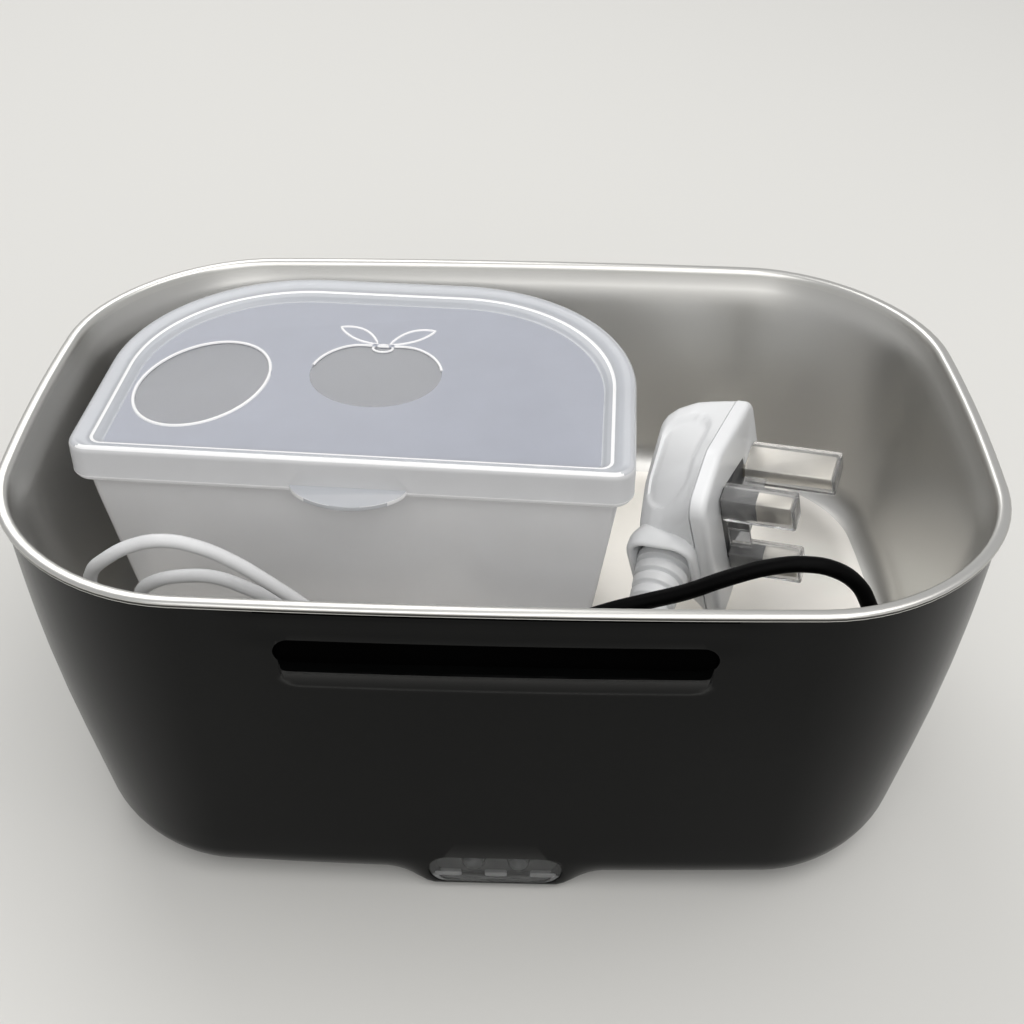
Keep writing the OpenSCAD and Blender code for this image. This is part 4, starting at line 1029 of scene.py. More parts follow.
# %% The tray's four steels: wall, rim, a floor painted lighter, and a painted shade in the groove
ON_WALL, ON_RIM, ON_FLOOR_PAINTED_LIGHTER, IN_GROOVE_PAINTED_SHADE = range(4)
FLOOR_EDGE, RIM_LOW, GROOVE_LOW, GROOVE_HIGH = TRAY_FLOOR + 1.2, top - 2.0, top - 1.45, top - 0.62


def tray_part(face):
    """Which part of the tray a face is on, by its height and by whether it looks up or outwards."""
    middle = face.center / MM
    # Faces of the floor, which look up, take the steel that is painted lighter.
    if len(face.vertices) > 4 or (middle.z < FLOOR_EDGE and face.normal.z > 0.8):
        return ON_FLOOR_PAINTED_LIGHTER
    if middle.z < RIM_LOW:
        return ON_WALL
    outward = face.normal.x * middle.x + face.normal.y * middle.y > 0
    # Outward faces in the groove take the painted shade.
    return IN_GROOVE_PAINTED_SHADE if outward and GROOVE_LOW < middle.z < GROOVE_HIGH else ON_RIM


wear_it(tray, brushed_steel, rim_steel, floor_steel_painted_lighter, groove_painted_shade)
for face in tray.data.polygons:
    face.material_index = tray_part(face)
stands_for(tray, "tray", "steel_tray")

# %% [markdown]
# ## The side-dish box
#
# The box and its lid share a D-shaped outline: a straight front, two small front
# corners and two wide back corners. They are drawn in their own frame, with the
# middle of the lid's front edge as the origin, and then turned into the tray.
# The walls have a real thickness, because light that passes through plastic
# shows both of its faces. Such plastic carries light inside it and gives it out
# at its edges, so the box's flange gets a painted highlight: a brighter finish
# that stands in for that light.

# %% Outline of the side-dish box
LID_LENGTH, LID_DEPTH, BACK_RADIUS, FRONT_RADIUS = 134.2, 87.5, 48, 5.5
BOX_AT, BOX_TURN = (-36.2, -21.85), math.radians(-3.1)
LID_TOP = TRAY_FLOOR + 60.6
SKIRT, BOX_WALL, BOX_LEAN = 8.7, 1.2, 0.125
DISH_STEPS = 14
turn_cos, turn_sin = math.cos(BOX_TURN), math.sin(BOX_TURN)


def in_tray(x, y, z):
    """From the side-dish box's own frame to the tray, in mm."""
    return (BOX_AT[0] + x * turn_cos - y * turn_sin, BOX_AT[1] + x * turn_sin + y * turn_cos, z)


def in_lid(x, y):
    """From the tray to the side-dish box's own frame, in mm."""
    x, y = x - BOX_AT[0], y - BOX_AT[1]
    return (x * turn_cos + y * turn_sin, y * turn_cos - x * turn_sin)


def dish_ring(inset, z, front_in=None, back_in=None):
    """The D-shaped outline moved inwards; the front and the back can have insets of their own."""
    front_in = inset if front_in is None else front_in
    back_in = inset if back_in is None else back_in
    a = LID_LENGTH / 2 - inset
    front, back = max(FRONT_RADIUS - min(inset, front_in), 1.5), max(BACK_RADIUS - inset, 5)
    far = LID_DEPTH - back_in - back
    points = corner_points(a - back, far, back, 0, 2 * DISH_STEPS)
    points += [((a - back) * k / 4, LID_DEPTH - back_in) for k in QUARTERS]
    points += corner_points(back - a, far, back, math.pi / 2, 2 * DISH_STEPS)
    low = front_in + front
    points += [(-a, far + (low - far) * k / 4) for k in (1, 2, 3)]
    points += corner_points(front - a, low, front, math.pi, DISH_STEPS)
    points += [((a - front) * k / 12, front_in) for k in range(-11, 12)]
    points += corner_points(a - front, low, front, 1.5 * math.pi, DISH_STEPS)
    points += [(a, low + (far - low) * k / 4) for k in (1, 2, 3)]
    return [in_tray(x, y, z) for x, y in points]


# %% Side-dish box
box_floor = TRAY_FLOOR + 0.3
flange_z = LID_TOP - SKIRT - 0.9
box_top = LID_TOP - 1.9


def box_inset(z):
    """How far the box's wall is inside the lid's outline."""
    return 2.2 + (LID_TOP - z) * BOX_LEAN


def inner_inset(z):
    """The same for the inside of the wall."""
    return box_inset(z) + BOX_WALL


foot = [(4.4, 0), (2.6, 0.1), (1.5, 0.45), (0.8, 1.1), (0.3, 2.1), (0, 3.5)]
box_section = [(box_inset(box_floor + h) + i, box_floor + h) for i, h in foot]
box_section += [(box_inset(z), z) for z in (58, 72, 84)]
box_section += [(box_inset(flange_z), flange_z), (0.75, flange_z), (0.6, flange_z + 0.15),
                (0.6, flange_z + 0.6), (0.75, flange_z + 0.75), (box_inset(flange_z + 1), flange_z + 0.75)]
box_section += [(box_inset(box_top), box_top - 0.3), (box_inset(box_top) + 0.3, box_top),
                (inner_inset(box_top) - 0.3, box_top), (inner_inset(box_top), box_top - 0.3)]
box_section += [(inner_inset(z), z) for z in (84, 72, 58)]
box_section += [(inner_inset(box_floor + 4), box_floor + 4), (inner_inset(box_floor) + 0.5, box_floor + 2.6),
                (inner_inset(box_floor) + 1.6, box_floor + 1.6),
                (inner_inset(box_floor) + 3.2, box_floor + BOX_WALL)]
dish_box = ringed("side_dish_box_clear", [dish_ring(*p) for p in box_section])
smoothed(dish_box, 40)
wear_it(dish_box, box_clear, painted_highlight_finish)
# The flange takes the painted highlight.
for face in dish_box.data.polygons:
    if flange_z - 0.05 < face.center.z / MM < flange_z + 0.8:
        face.material_index = 1
stands_for(dish_box, "compartment", "side_dish_box")

# %% [markdown]
# The lid is a shallow pan turned over: a skirt, a rounded top edge, a raised
# border with a fine bead, and a panel that lies lower. The border is wide at the
# back and narrow at the front, so its rings say how far the front goes in by a
# number of its own. A rib under the border finds the inside of the box. The thumb
# tab grows out of the skirt's lower edge and droops a little towards its tip.

# %% Side-dish lid
LID_WALL, SIDE_BORDER, BACK_BORDER = 1.0, 8.2, 12.0
skirt_z = LID_TOP - SKIRT
rib = box_inset(box_top) + BOX_WALL + 0.9
panel_z = LID_TOP - 1.2
lid_under = [(SIDE_BORDER + 1, -2.2), (SIDE_BORDER, -1.5), (rib + 1, -1.5), (rib + 0.9, -4.4),
             (rib + 0.7, -4.6), (rib + 0.2, -4.6), (rib, -4.4), (rib - 0.1, -1.5), (LID_WALL + 0.4, -1.5),
             (LID_WALL, -2.2), (LID_WALL, 0.2 - SKIRT), (LID_WALL - 0.2, -SKIRT)]
lid_skirt = [(0.3, -SKIRT), (0.05, 0.1 - SKIRT), (0, 0.3 - SKIRT), (0, 0.6 - SKIRT), (0.05, 0.7 - SKIRT),
             (0.05, -1.8), (0.12, -1.2), (0.4, -0.6), (0.8, -0.2), (1.3, 0)]
lid_border = [(0.22, 1.6, -0.05), (0.3, 1.8, -0.35), (0.5, 2.0, -0.4), (0.6, 2.2, -0.25), (0.64, 2.4, 0.05),
              (0.69, 2.65, 0.2), (0.74, 2.9, 0.05), (0.78, 3.1, -0.15), (0.83, 3.3, -0.25),
              (0.87, 3.5, -0.45), (0.92, 3.8, -0.85), (0.96, 4.1, -1.12), (1, 4.5, -1.2)]
lid_rings = [dish_ring(inset, LID_TOP + h) for inset, h in lid_under + lid_skirt]
lid_rings += [dish_ring(share * SIDE_BORDER, LID_TOP + h, front_in=front, back_in=share * BACK_BORDER)
              for share, front, h in lid_border]
dish_lid = ringed("side_dish_lid_frosted", lid_rings)
print("lid rings:", len(lid_rings))

# %% Thumb tab
TAB_HALF, TAB_REACH, TAB_DROOP, TAB_ROOT, TAB_THICK = 13.9, 5.6, 1.1, 0.6, 1.2
bpy.ops.object.select_all(action="DESELECT")
bpy.ops.mesh.primitive_circle_add(vertices=72, radius=MM, fill_type="NGON")
tab = bpy.context.object
tab.name = "thumb_tab"
bpy.ops.object.mode_set(mode="EDIT")
bpy.ops.transform.resize(value=(TAB_HALF, TAB_REACH + TAB_ROOT, 1))
bpy.ops.mesh.extrude_region_move(TRANSFORM_OT_translate={"value": (0, 0, TAB_THICK * MM)})
bpy.ops.mesh.select_all(action="SELECT")
bpy.ops.mesh.normals_make_consistent(inside=False)
bpy.ops.mesh.bisect(plane_co=(0, 0, 0), plane_no=(0, 1, 0), clear_outer=True, use_fill=True)
bpy.ops.object.mode_set(mode="OBJECT")
for vertex in tab.data.vertices:
    x, y, z = vertex.co / MM
    droop = TAB_DROOP * (y / TAB_REACH) ** 2
    vertex.co = Vector(in_tray(x, y + TAB_ROOT, z + skirt_z - droop)) * MM
combined(dish_lid, tab)


def on_tab(spot):
    """Whether a place in mm is on the edge of the tab."""
    x, y = in_lid(spot.x, spot.y)
    return spot.z < skirt_z + 1.3 and math.hypot(x, y) < 16 and y < -0.1


print("bevelled edges of the tab:", bevelled_where(dish_lid, on_tab, 0.25))

# %% [markdown]
# Two plain marks stand up from the panel as fine ridges, a ring and a round
# fruit with two leaves, and inside them the plastic is polished instead of
# frosted. Each ridge is a thin closed tube that is joined to the lid, and the
# panel inside is cut a hair deeper, so that it is a face of its own. The ridges,
# the bead and the foot of the skirt are edges, so they get a painted highlight:
# a near-white finish that stands in for the light that they catch.

# %% Marks on the lid
def oval(cx, cy, rx, ry, steps=72, dent=0.0, lean=0.0):
    """Points of an oval that leans; dent pulls its top down, as the top of a fruit is."""
    lean_cos, lean_sin = math.cos(lean), math.sin(lean)
    points = []
    for i in range(steps):
        t = 2 * math.pi * i / steps
        pull = dent * math.exp(-((t - math.pi / 2) / 0.38) ** 2)
        along, up = rx * math.cos(t), ry * (math.sin(t) - pull)
        points.append((cx + along * lean_cos + up * lean_sin, cy + up * lean_cos - along * lean_sin))
    return points


def ridge(name, points, radius, z, closed=True):
    """A closed tube along the points, which are in the lid's own frame."""
    curve = bpy.data.curves.new(name, "CURVE")
    curve.dimensions = "3D"
    curve.bevel_depth = radius * MM
    curve.bevel_resolution = 2
    curve.use_fill_caps = not closed
    line = curve.splines.new("POLY")
    line.points.add(len(points) - 1)
    line.use_cyclic_u = closed
    for spot, (x, y) in zip(line.points, points):
        spot.co = (*(Vector(in_tray(x, y, z)) * MM), 1)
    drawn = bpy.data.objects.new(name, curve)
    bpy.context.scene.collection.objects.link(drawn)
    only(drawn)
    bpy.ops.object.convert(target="MESH")
    return bpy.context.object


def pocket(name, points, depth):
    """A closed plug over the points that cuts the panel by depth."""
    bpy.ops.object.select_all(action="DESELECT")
    bpy.ops.mesh.primitive_circle_add(vertices=len(points), radius=MM, fill_type="NGON")
    cutter = bpy.context.object
    cutter.name = name
    for vertex, (x, y) in zip(cutter.data.vertices, points):
        vertex.co = Vector(in_tray(x, y, panel_z - depth)) * MM
    bpy.ops.object.mode_set(mode="EDIT")
    bpy.ops.mesh.select_all(action="SELECT")
    bpy.ops.mesh.extrude_region_move(TRANSFORM_OT_translate={"value": (0, 0, 3 * MM)})
    bpy.ops.mesh.select_all(action="SELECT")
    bpy.ops.mesh.normals_make_consistent(inside=False)
    bpy.ops.object.mode_set(mode="OBJECT")
    return cutter


# %% Ring and fruit
RING_AT, RING_RADIUS, RING_LEAN = (-41.8, 32.6), (15.2, 20.4), math.radians(20)
FRUIT_AT, FRUIT_RADIUS = (0.8, 40.5), (16.8, 15.4)
WINDOW_DEPTH = 0.1
ring_line = oval(*RING_AT, *RING_RADIUS, lean=RING_LEAN)
fruit_line = oval(*FRUIT_AT, *FRUIT_RADIUS, dent=0.14)
for name, line in (("ring", ring_line), ("fruit", fruit_line)):
    combined(dish_lid, pocket(name, line, WINDOW_DEPTH), "DIFFERENCE")
combined(dish_lid, ridge("ring_ridge", ring_line, 0.45, panel_z))
upper = [p for p in fruit_line if p[1] > FRUIT_AT[1] + 1.5]
upper.sort(key=lambda p: -p[0])
combined(dish_lid, ridge("fruit_ridge", upper, 0.4, panel_z, closed=False))
stem_line = oval(FRUIT_AT[0], FRUIT_AT[1] + FRUIT_RADIUS[1] * 0.8, 2.6, 1.8, 24)
combined(dish_lid, ridge("stem_ridge", stem_line, 0.35, panel_z))
print("marks:", len(ring_line), "points in the ring,", len(upper), "on the fruit")

# %% Leaves
LEAF_STEPS, LEAF_REACH, LEAF_DROOP, LEAF_HALF = 14, 11, 3, 2.3


def leaf(side):
    """A leaf's outline that grows from the top of the fruit to one side."""
    x, y = FRUIT_AT[0] + side * 1.6, FRUIT_AT[1] + FRUIT_RADIUS[1] * 0.93
    out, back = [], []
    for i in range(LEAF_STEPS + 1):
        t = i / LEAF_STEPS
        mid_x, mid_y = x + side * LEAF_REACH * t, y + LEAF_REACH * t - LEAF_DROOP * t * t
        width = LEAF_HALF * math.sin(math.pi * t) ** 0.8
        out.append((mid_x - side * 0.45 * width, mid_y + width))
        back.append((mid_x + side * 0.45 * width, mid_y - width))
    return out + back[-2:0:-1]


for side in (-1, 1):
    combined(dish_lid, ridge("leaf", leaf(side), 0.38, panel_z))

# %% The lid's five finishes, one a painted highlight and one a skirt painted lighter
ON_BORDER, ON_PANEL, IN_WINDOW, ON_SKIRT_PAINTED_LIGHTER, PAINTED_HIGHLIGHT = range(5)
drawn_lines = [Vector(p) for p in ring_line + upper + stem_line + leaf(-1) + leaf(1)]


def near_line(place):
    """Whether a place on the lid is beside a ridge."""
    return min((place - p).length for p in drawn_lines) < 1.2


def lid_part(face):
    """Which part of the lid a face is on, by its height, its slope and its place on the lid."""
    z, up = face.center.z / MM, face.normal.z
    if len(face.vertices) > 4 and z > panel_z - 1.4:
        return IN_WINDOW if abs(z - panel_z + WINDOW_DEPTH) < 0.04 else ON_PANEL
    place = Vector(in_lid(face.center.x / MM, face.center.y / MM))
    front_edge = place.y < 1.4 and z > LID_TOP - 0.75 and 0.2 < up < 0.93
    skirt_foot = skirt_z - 0.1 < z < skirt_z + 0.65 and abs(up) < 0.8
    bead = z > LID_TOP + 0.02
    # The front edge, the skirt's foot, the bead and the faces beside the ridges take the painted highlight.
    if front_edge or skirt_foot or bead:
        return PAINTED_HIGHLIGHT
    if panel_z + 0.05 < z < LID_TOP - 0.7 and near_line(place):
        return PAINTED_HIGHLIGHT
    # Upright faces above the skirt's foot take the skirt that is painted lighter.
    return ON_SKIRT_PAINTED_LIGHTER if abs(up) < 0.5 and z > skirt_z else ON_BORDER


wear_it(dish_lid, frost_border, frost_panel, clear_window, skirt_painted_lighter, painted_highlight_finish)
for face in dish_lid.data.polygons:
    face.material_index = lid_part(face)
smoothed(dish_lid, 35)
stands_for(dish_lid, "compartment_lid", "side_dish_lid")

# %% [markdown]
# ## The mains plug
#
# The plug lies in the tray on a slant, so it is modelled in a frame of its own:
# X runs along the pins, Y towards the earth pin and Z across. Its outline is the
# skin round six circles, like a rubber band. Each section of the body is such a
# skin with other circles, and the sections become smaller towards the back. The
# two flanks get a long hollow for the fingers. The rim stands round the pins, and
# a well inside it lets the dark face plate be seen.

# %% Plug frame and sections
PLUG_AT = Vector((57, -3, TRAY_FLOOR + 28.8))
TURN_Z, TURN_Y, TURN_X = -21.5, -7, 17.5
PLUG_TURN = Matrix.Identity(3)
for degrees, axis in ((TURN_Z, "Z"), (TURN_Y, "Y"), (TURN_X, "X")):
    PLUG_TURN = PLUG_TURN @ Matrix.Rotation(math.radians(degrees), 3, axis)
FLANGE, FACE_RECESS, BACK_TILT = 4, 1.6, 0.006


def from_plug(x, y, z):
    """From the plug's own frame to the case's, in mm."""
    return PLUG_AT + PLUG_TURN @ Vector((x, y, z))


def skin(circles, arc_steps=6, edge_steps=16):
    """A band round the circles, given as (y, z, radius) for one half and mirrored in z."""
    ring = [(y, z, r) for y, z, r in circles] + [(y, -z, r) for y, z, r in reversed(circles)]
    ways = []
    for (ay, az, ar), (by, bz, br) in zip(ring, ring[1:] + ring[:1]):
        gap = Vector((by - ay, bz - az))
        lean = math.asin(max(-1, min(1, (ar - br) / gap.length)))
        ways.append(math.atan2(gap.y, gap.x) + math.pi / 2 - lean)
    points = []
    for i, (y, z, r) in enumerate(ring):
        start, end = ways[i - 1], ways[i]
        while end > start:
            end -= 2 * math.pi
        if start - end > 1.5 * math.pi:
            end = start
        for k in range(arc_steps + 1):
            t = start + (end - start) * k / arc_steps
            points.append((y + r * math.cos(t), z + r * math.sin(t)))
        ny, nz, nr = ring[(i + 1) % len(ring)]
        a, b = points[-1], (ny + nr * math.cos(ways[i]), nz + nr * math.sin(ways[i]))
        for k in range(1, edge_steps):
            points.append((a[0] + (b[0] - a[0]) * k / edge_steps, a[1] + (b[1] - a[1]) * k / edge_steps))
    return points


def blended(stops, at):
    """Circles between the stops, a list of (depth, circles)."""
    for (a, first), (b, second) in zip(stops, stops[1:]):
        if at <= b:
            t = (at - a) / (b - a)
            return [tuple(p + (q - p) * t for p, q in zip(c, d)) for c, d in zip(first, second)]
    return stops[-1][1]


HOLLOW_DEPTH, HOLLOW_RADIUS, HOLLOW_RUN, HOLLOW_EDGE = 1.1, 6.2, 9, 0.9
HOLLOW_X, HOLLOW_Y = -13, 8


def finger_hollow(x, y, z):
    """How much the flank goes in: a bar along Y with round ends and a crisp edge."""
    past_end = max(abs(y - HOLLOW_Y) - HOLLOW_RUN, 0)
    inside = HOLLOW_RADIUS - math.hypot(past_end, x - HOLLOW_X)
    return HOLLOW_DEPTH * eased(inside / HOLLOW_EDGE) if abs(z) > 6 else 0


# %% Plug body

plug_stops = [
    (0, [(-8.5, 19.3, 5), (3, 16.8, 8), (25.5, 9.3, 6.9)]),
    (2.5, [(-8.2, 15.8, 4.7), (3, 15.4, 7.6), (25.6, 9.0, 6.7)]),
    (6, [(-7.6, 12.2, 4.6), (2.8, 13.4, 7.3), (25.6, 8.6, 6.4)]),
    (9, [(-7.2, 9.8, 4.6), (2.6, 11.6, 7.0), (25.4, 8.1, 6.2)]),
    (13, [(-6.8, 7.4, 4.6), (2.6, 9.0, 6.8), (24.0, 7.2, 5.8)]),
    (15.2, [(-6.4, 5.8, 4.2), (2.6, 7.4, 6.2), (22.6, 6.6, 5.2)]),
    (16.4, [(-6.0, 5.4, 3.4), (2.6, 6.8, 5.2), (21.6, 6.2, 4.2)]),
    (17, [(-5.6, 4.8, 2.0), (2.6, 6.0, 3.6), (20.6, 5.6, 2.8)]),
]
depths = [0, 0.6, 1.2, 1.9, 2.6] + [3.3 + 0.7 * i for i in range(17)] + [15.1, 15.7, 16.2, 16.6, 16.85, 17]
sections = []
for depth in depths:
    x = -FLANGE - depth
    ring = []
    for y, z in skin(blended(plug_stops, depth)):
        tilt = BACK_TILT * depth * y
        ring.append(from_plug(x - tilt, y, z - math.copysign(finger_hollow(x, y, z), z)))
    sections.append(ring)
plug_grip = ringed("plug_grip", sections)
dressed(plug_grip, 48, plug_white, "stored_leads", "plug_body")

# %% Plug rim
def rim_ring(circles, grow, x):
    """A ring of the rim round the circles, which grow."""
    grown = [(y, z, r + grow) for y, z, r in circles]
    return [from_plug(x, y, z) for y, z in skin(grown, edge_steps=4)]


face_circles = [(-8.5, 19.5, 5), (3, 17, 8), (25.5, 9.5, 7)]
well_circles = [(0.5, 8.6, 2.6), (4, 9.4, 3), (17, 3.6, 2.6)]
rim_section = [(-0.5, -FLANGE), (0, -FLANGE + 0.4), (0, -1.6), (-0.3, -0.8), (-0.9, -0.25), (-1.7, 0),
               (-3, 0)]
well_section = [(0.6, 0), (0.2, -0.15), (0, -0.6), (0, -FACE_RECESS - 0.4)]
rim_rings = [rim_ring(face_circles, *p) for p in rim_section]
rim_rings += [rim_ring(well_circles, *p) for p in well_section]
plug_rim = ringed("plug_rim", rim_rings)
dressed(plug_rim, 50, plug_white, "stored_leads", "plug_base")

# %% [markdown]
# The pins start as cubes. A cube is stretched to the pin's size in edit mode, its
# end is narrowed, and all its edges are bevelled. The insulating sleeves of the
# two smaller pins stand out of the metal by a hair.

# %% Pins and sleeves
PIN_TIP = 2.2


def pin(name, low, high, width, taper=0.0):
    """A bevelled bar between two corners of the plug's frame; taper narrows its outer end."""
    bpy.ops.object.select_all(action="DESELECT")
    bpy.ops.mesh.primitive_cube_add(size=MM)
    piece = bpy.context.object
    piece.name = name
    low, high = Vector(low), Vector(high)
    size, middle = high - low, (high + low) / 2
    bpy.ops.object.mode_set(mode="EDIT")
    bpy.ops.transform.resize(value=size)
    bpy.ops.mesh.bevel(offset=width * MM, segments=3, affect="EDGES")
    bpy.ops.object.mode_set(mode="OBJECT")
    for vertex in piece.data.vertices:
        spot = vertex.co / MM
        end = max(spot.x - size.x / 2 + PIN_TIP, 0) / PIN_TIP
        spot.y *= 1 - taper * end * end
        spot.z *= 1 - taper * end * end
        vertex.co = from_plug(*(spot + middle)) * MM
    return piece


def joined(name, pieces):
    """Several meshes as one object."""
    bpy.ops.object.select_all(action="DESELECT")
    for part in pieces:
        part.select_set(True)
    bpy.context.view_layer.objects.active = pieces[0]
    bpy.ops.object.join()
    pieces[0].name = pieces[0].data.name = name
    return pieces[0]


EARTH_AT, EARTH_TALL, EARTH_WIDE, EARTH_END = 22.2, 8, 4, 22.7
PIN_AT, PIN_WIDE, PIN_TALL, PIN_END, SLEEVE_END = 11.1, 6.4, 4, 17.7, 9.2


def pin_block(middle_y, middle_z, tall, wide, start, end, proud=0.0):
    """Two corners of a block round a pin's axis, which may stand proud of the pin."""
    half_y, half_z = tall / 2 + proud, wide / 2 + proud
    return (start, middle_y - half_y, middle_z - half_z), (end, middle_y + half_y, middle_z + half_z)


earth_block = pin_block(EARTH_AT, 0, EARTH_TALL, EARTH_WIDE, -FACE_RECESS, EARTH_END)
earth_blade = pin("earth_blade", *earth_block, width=0.5, taper=0.06)
dressed(earth_blade, 30, nickel, "stored_leads", "earth_pin")
blades, sleeves = [], []
for side in (-1, 1):
    blade_block = pin_block(0, side * PIN_AT, PIN_TALL, PIN_WIDE, SLEEVE_END - 0.5, PIN_END)
    sleeve_block = pin_block(0, side * PIN_AT, PIN_TALL, PIN_WIDE, -FACE_RECESS, SLEEVE_END, 0.02)
    blades.append(pin("blade", *blade_block, width=0.5, taper=0.08))
    sleeves.append(pin("sleeve", *sleeve_block, width=0.3))
dressed(joined("power_blades", blades), 30, nickel, "stored_leads", "line_neutral_pins")
dressed(joined("blade_sleeves", sleeves), 30, sleeve_grey, "stored_leads", "pin_sleeves")

# %% [markdown]
# A new plug comes with a clear cover over its pins. It has one sleeve for each
# pin, with rounded ends, and a low web that joins the sleeves near the plug. Each
# sleeve is a bevelled block, from which a smaller block is cut.

# %% Clear cover over the pins
COVER_GAP, COVER_WALL, COVER_WEB = 0.3, 0.8, 6


def around_pins(name, start, proud, width):
    """Three blocks over the pins, which stand proud of them all round and at their ends."""
    blocks = [pin_block(EARTH_AT, 0, EARTH_TALL, EARTH_WIDE, start, EARTH_END + proud, proud)]
    for side in (-1, 1):
        blocks.append(pin_block(0, side * PIN_AT, PIN_TALL, PIN_WIDE, start, PIN_END + proud, proud))
    return [pin(name, *corners, width) for corners in blocks]


cover, *others = around_pins("cover_sleeve", COVER_GAP, COVER_GAP + COVER_WALL, width=0.7)
webs = [pin("cover_web", (COVER_GAP, -COVER_WALL / 2, -PIN_AT), (COVER_WEB, COVER_WALL / 2, PIN_AT), 0.1),
        pin("cover_web", (COVER_GAP, 0, -COVER_WALL / 2), (COVER_WEB, EARTH_AT, COVER_WALL / 2), 0.1)]
for block in others + webs:
    combined(cover, block)
for block in around_pins("cover_way", -1, COVER_GAP, width=0.2):
    combined(cover, block, "DIFFERENCE")
cover.name = "clear_pin_cover"
dressed(cover, 30, cover_clear, "stored_leads", "pin_cover")

# %% [markdown]
# The lead leaves the plug through a collar with rounded corners. Inside it lies
# the strain relief: a soft cone with thick ribs. The cone is made by spinning
# one section round the cord's axis, and the collar is another stack of rings.

# %% Collar and strain relief
RELIEF_X, RELIEF_ROOT = -FLANGE - 8.4, -13.1
COLLAR_HALF_X, COLLAR_HALF_Z, COLLAR_CORNER = 8.9, 11.6, 5.8


def collar_ring(inset, y):
    """A rounded rectangle round the relief's axis, moved inwards by inset."""
    radius = max(COLLAR_CORNER - inset, 1.5)
    run, rise = COLLAR_HALF_X - inset - radius, COLLAR_HALF_Z - inset - radius
    corners = []
    for sx, sz, quarter in ((1, 1, 0), (-1, 1, 1), (-1, -1, 2), (1, -1, 3)):
        corners += corner_points(RELIEF_X + sx * run, sz * rise, radius, math.pi / 2 * quarter, 8)
    return [from_plug(x, y, z) for x, z in corners]


collar_section = [(1.8, -8.6), (0.9, -10.4), (0.3, -11.8), (0, -13), (0, -15.4), (0.25, -16.2), (0.7, -16.6),
                  (1.2, -16.6), (1.7, -16.2), (1.9, -15.4), (2.1, -13), (2.2, -8.6)]
collar = ringed("plug_collar", [collar_ring(*p) for p in collar_section], closed=True)
smoothed(collar, 45)
wear_it(collar, plug_white)


def turned(name, section, frame_at, steps=48):
    """Spins a section of (radius, distance) pairs; frame_at(a, b, distance) puts a point round an axis."""
    turns = [2 * math.pi * k / steps for k in range(steps)]
    rings = []
    for radius, distance in section:
        rings.append([frame_at(radius * math.cos(t), radius * math.sin(t), distance) for t in turns])
    return ringed(name, rings)


def behind_plug(a, b, distance):
    return from_plug(RELIEF_X + a, RELIEF_ROOT - distance, b)


RELIEF_LENGTH, RELIEF_CORE, RELIEF_TAPER, RELIEF_STEP, CORD_MOUTH = 24.9, 5.9, 2.5, 0.17, 2.2
RIB_PITCH, RIB_SHOULDER, RIB_LAND, RIB_HEIGHT, RIBS_END = 3.6, 0.14, 0.66, 1.5, 23


def relief_radius(distance):
    """The ribs of the strain relief: wide lands with round shoulders, narrow grooves and a plain end."""
    if distance >= RIBS_END:
        return max(3.3 - (distance - RIBS_END) * 0.5, CORD_MOUTH)
    core = RELIEF_CORE - RELIEF_TAPER * distance / RELIEF_LENGTH
    part = (distance % RIB_PITCH) / RIB_PITCH
    land = eased(part / RIB_SHOULDER) * (1 - eased((part - RIB_LAND) / RIB_SHOULDER))
    return max(core + (RIB_HEIGHT - 0.03 * distance) * land, CORD_MOUTH)


relief_stops = [i * RELIEF_STEP for i in range(146)]
relief_section = [(7.2, -3)] + [(relief_radius(distance), distance) for distance in relief_stops]
relief = turned("strain_relief_ribs", relief_section, behind_plug)
smoothed(relief, 60)
wear_it(relief, plug_white)
collar = joined("plug_collar_and_relief", [collar, relief])
stands_for(collar, "stored_leads", "plug_strain_relief")

# %% [markdown]
# ## The indicator window
#
# The window in the nose is a clear bar with round ends. Behind it lies a dark
# light guide with a round hole for each lamp. Beside the holes its upper and
# lower edges carry flats, whose bevels catch the light and whose lighter grey is
# a painted highlight, so that they show as short bright bars.

# %% Indicator window
window_depth = LENS_SEAT - lens_face - 0.5
window_place = (0, lens_face + 0.45, LENS_HIGH)
window = bar("window_bar", window_place, LENS_LENGTH - 0.3, LENS_HEIGHT - 0.3, window_depth)
bevelled_where(window, lambda spot: spot.y < lens_face + 0.6, 0.9, 3)
dressed(window, 30, lens_clear, "housing", "indicator_lens")

# %% Light guide behind the window
LAMP_GAP, LAMP_HOLE = 11, 3.0
FLAT_HEIGHT, FLAT_THICK, FLAT_IN = 1.3, 1.2, 1.5
flats = []
for x, length in ((0, 5.4), (-11.6, 6.5), (11.6, 6.5)):
    for up in (-1, 1):
        place = (x, LENS_SEAT - 0.4, LENS_HIGH + up * (LENS_HEIGHT / 2 - FLAT_IN))
        flat = bar("window_flat", place, length, FLAT_HEIGHT, FLAT_THICK)
        bevelled_where(flat, lambda spot: spot.y < LENS_SEAT - 0.2, 0.25)
        flats.append(flat)
guide = bar("guide_back", (0, LENS_SEAT + 0.75, LENS_HIGH), LENS_LENGTH - 3.6, LENS_HEIGHT - 3.6, 0.8)
for side in (-1, 1):
    hole_place = (side * LAMP_GAP / 2, LENS_SEAT - 2, LENS_HIGH)
    combined(guide, post("lamp_hole", hole_place, LAMP_HOLE, 6, along=(0, 1, 0)), "DIFFERENCE")
wear_it(guide, guide_grey)
# The flats take the painted highlight.
for flat in flats:
    wear_it(flat, facet_painted_highlight)
guide = joined("light_guide", [guide] + flats)
smoothed(guide, 30)
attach(guide, "housing")
print("light guide:", len(guide.data.polygons), "faces")

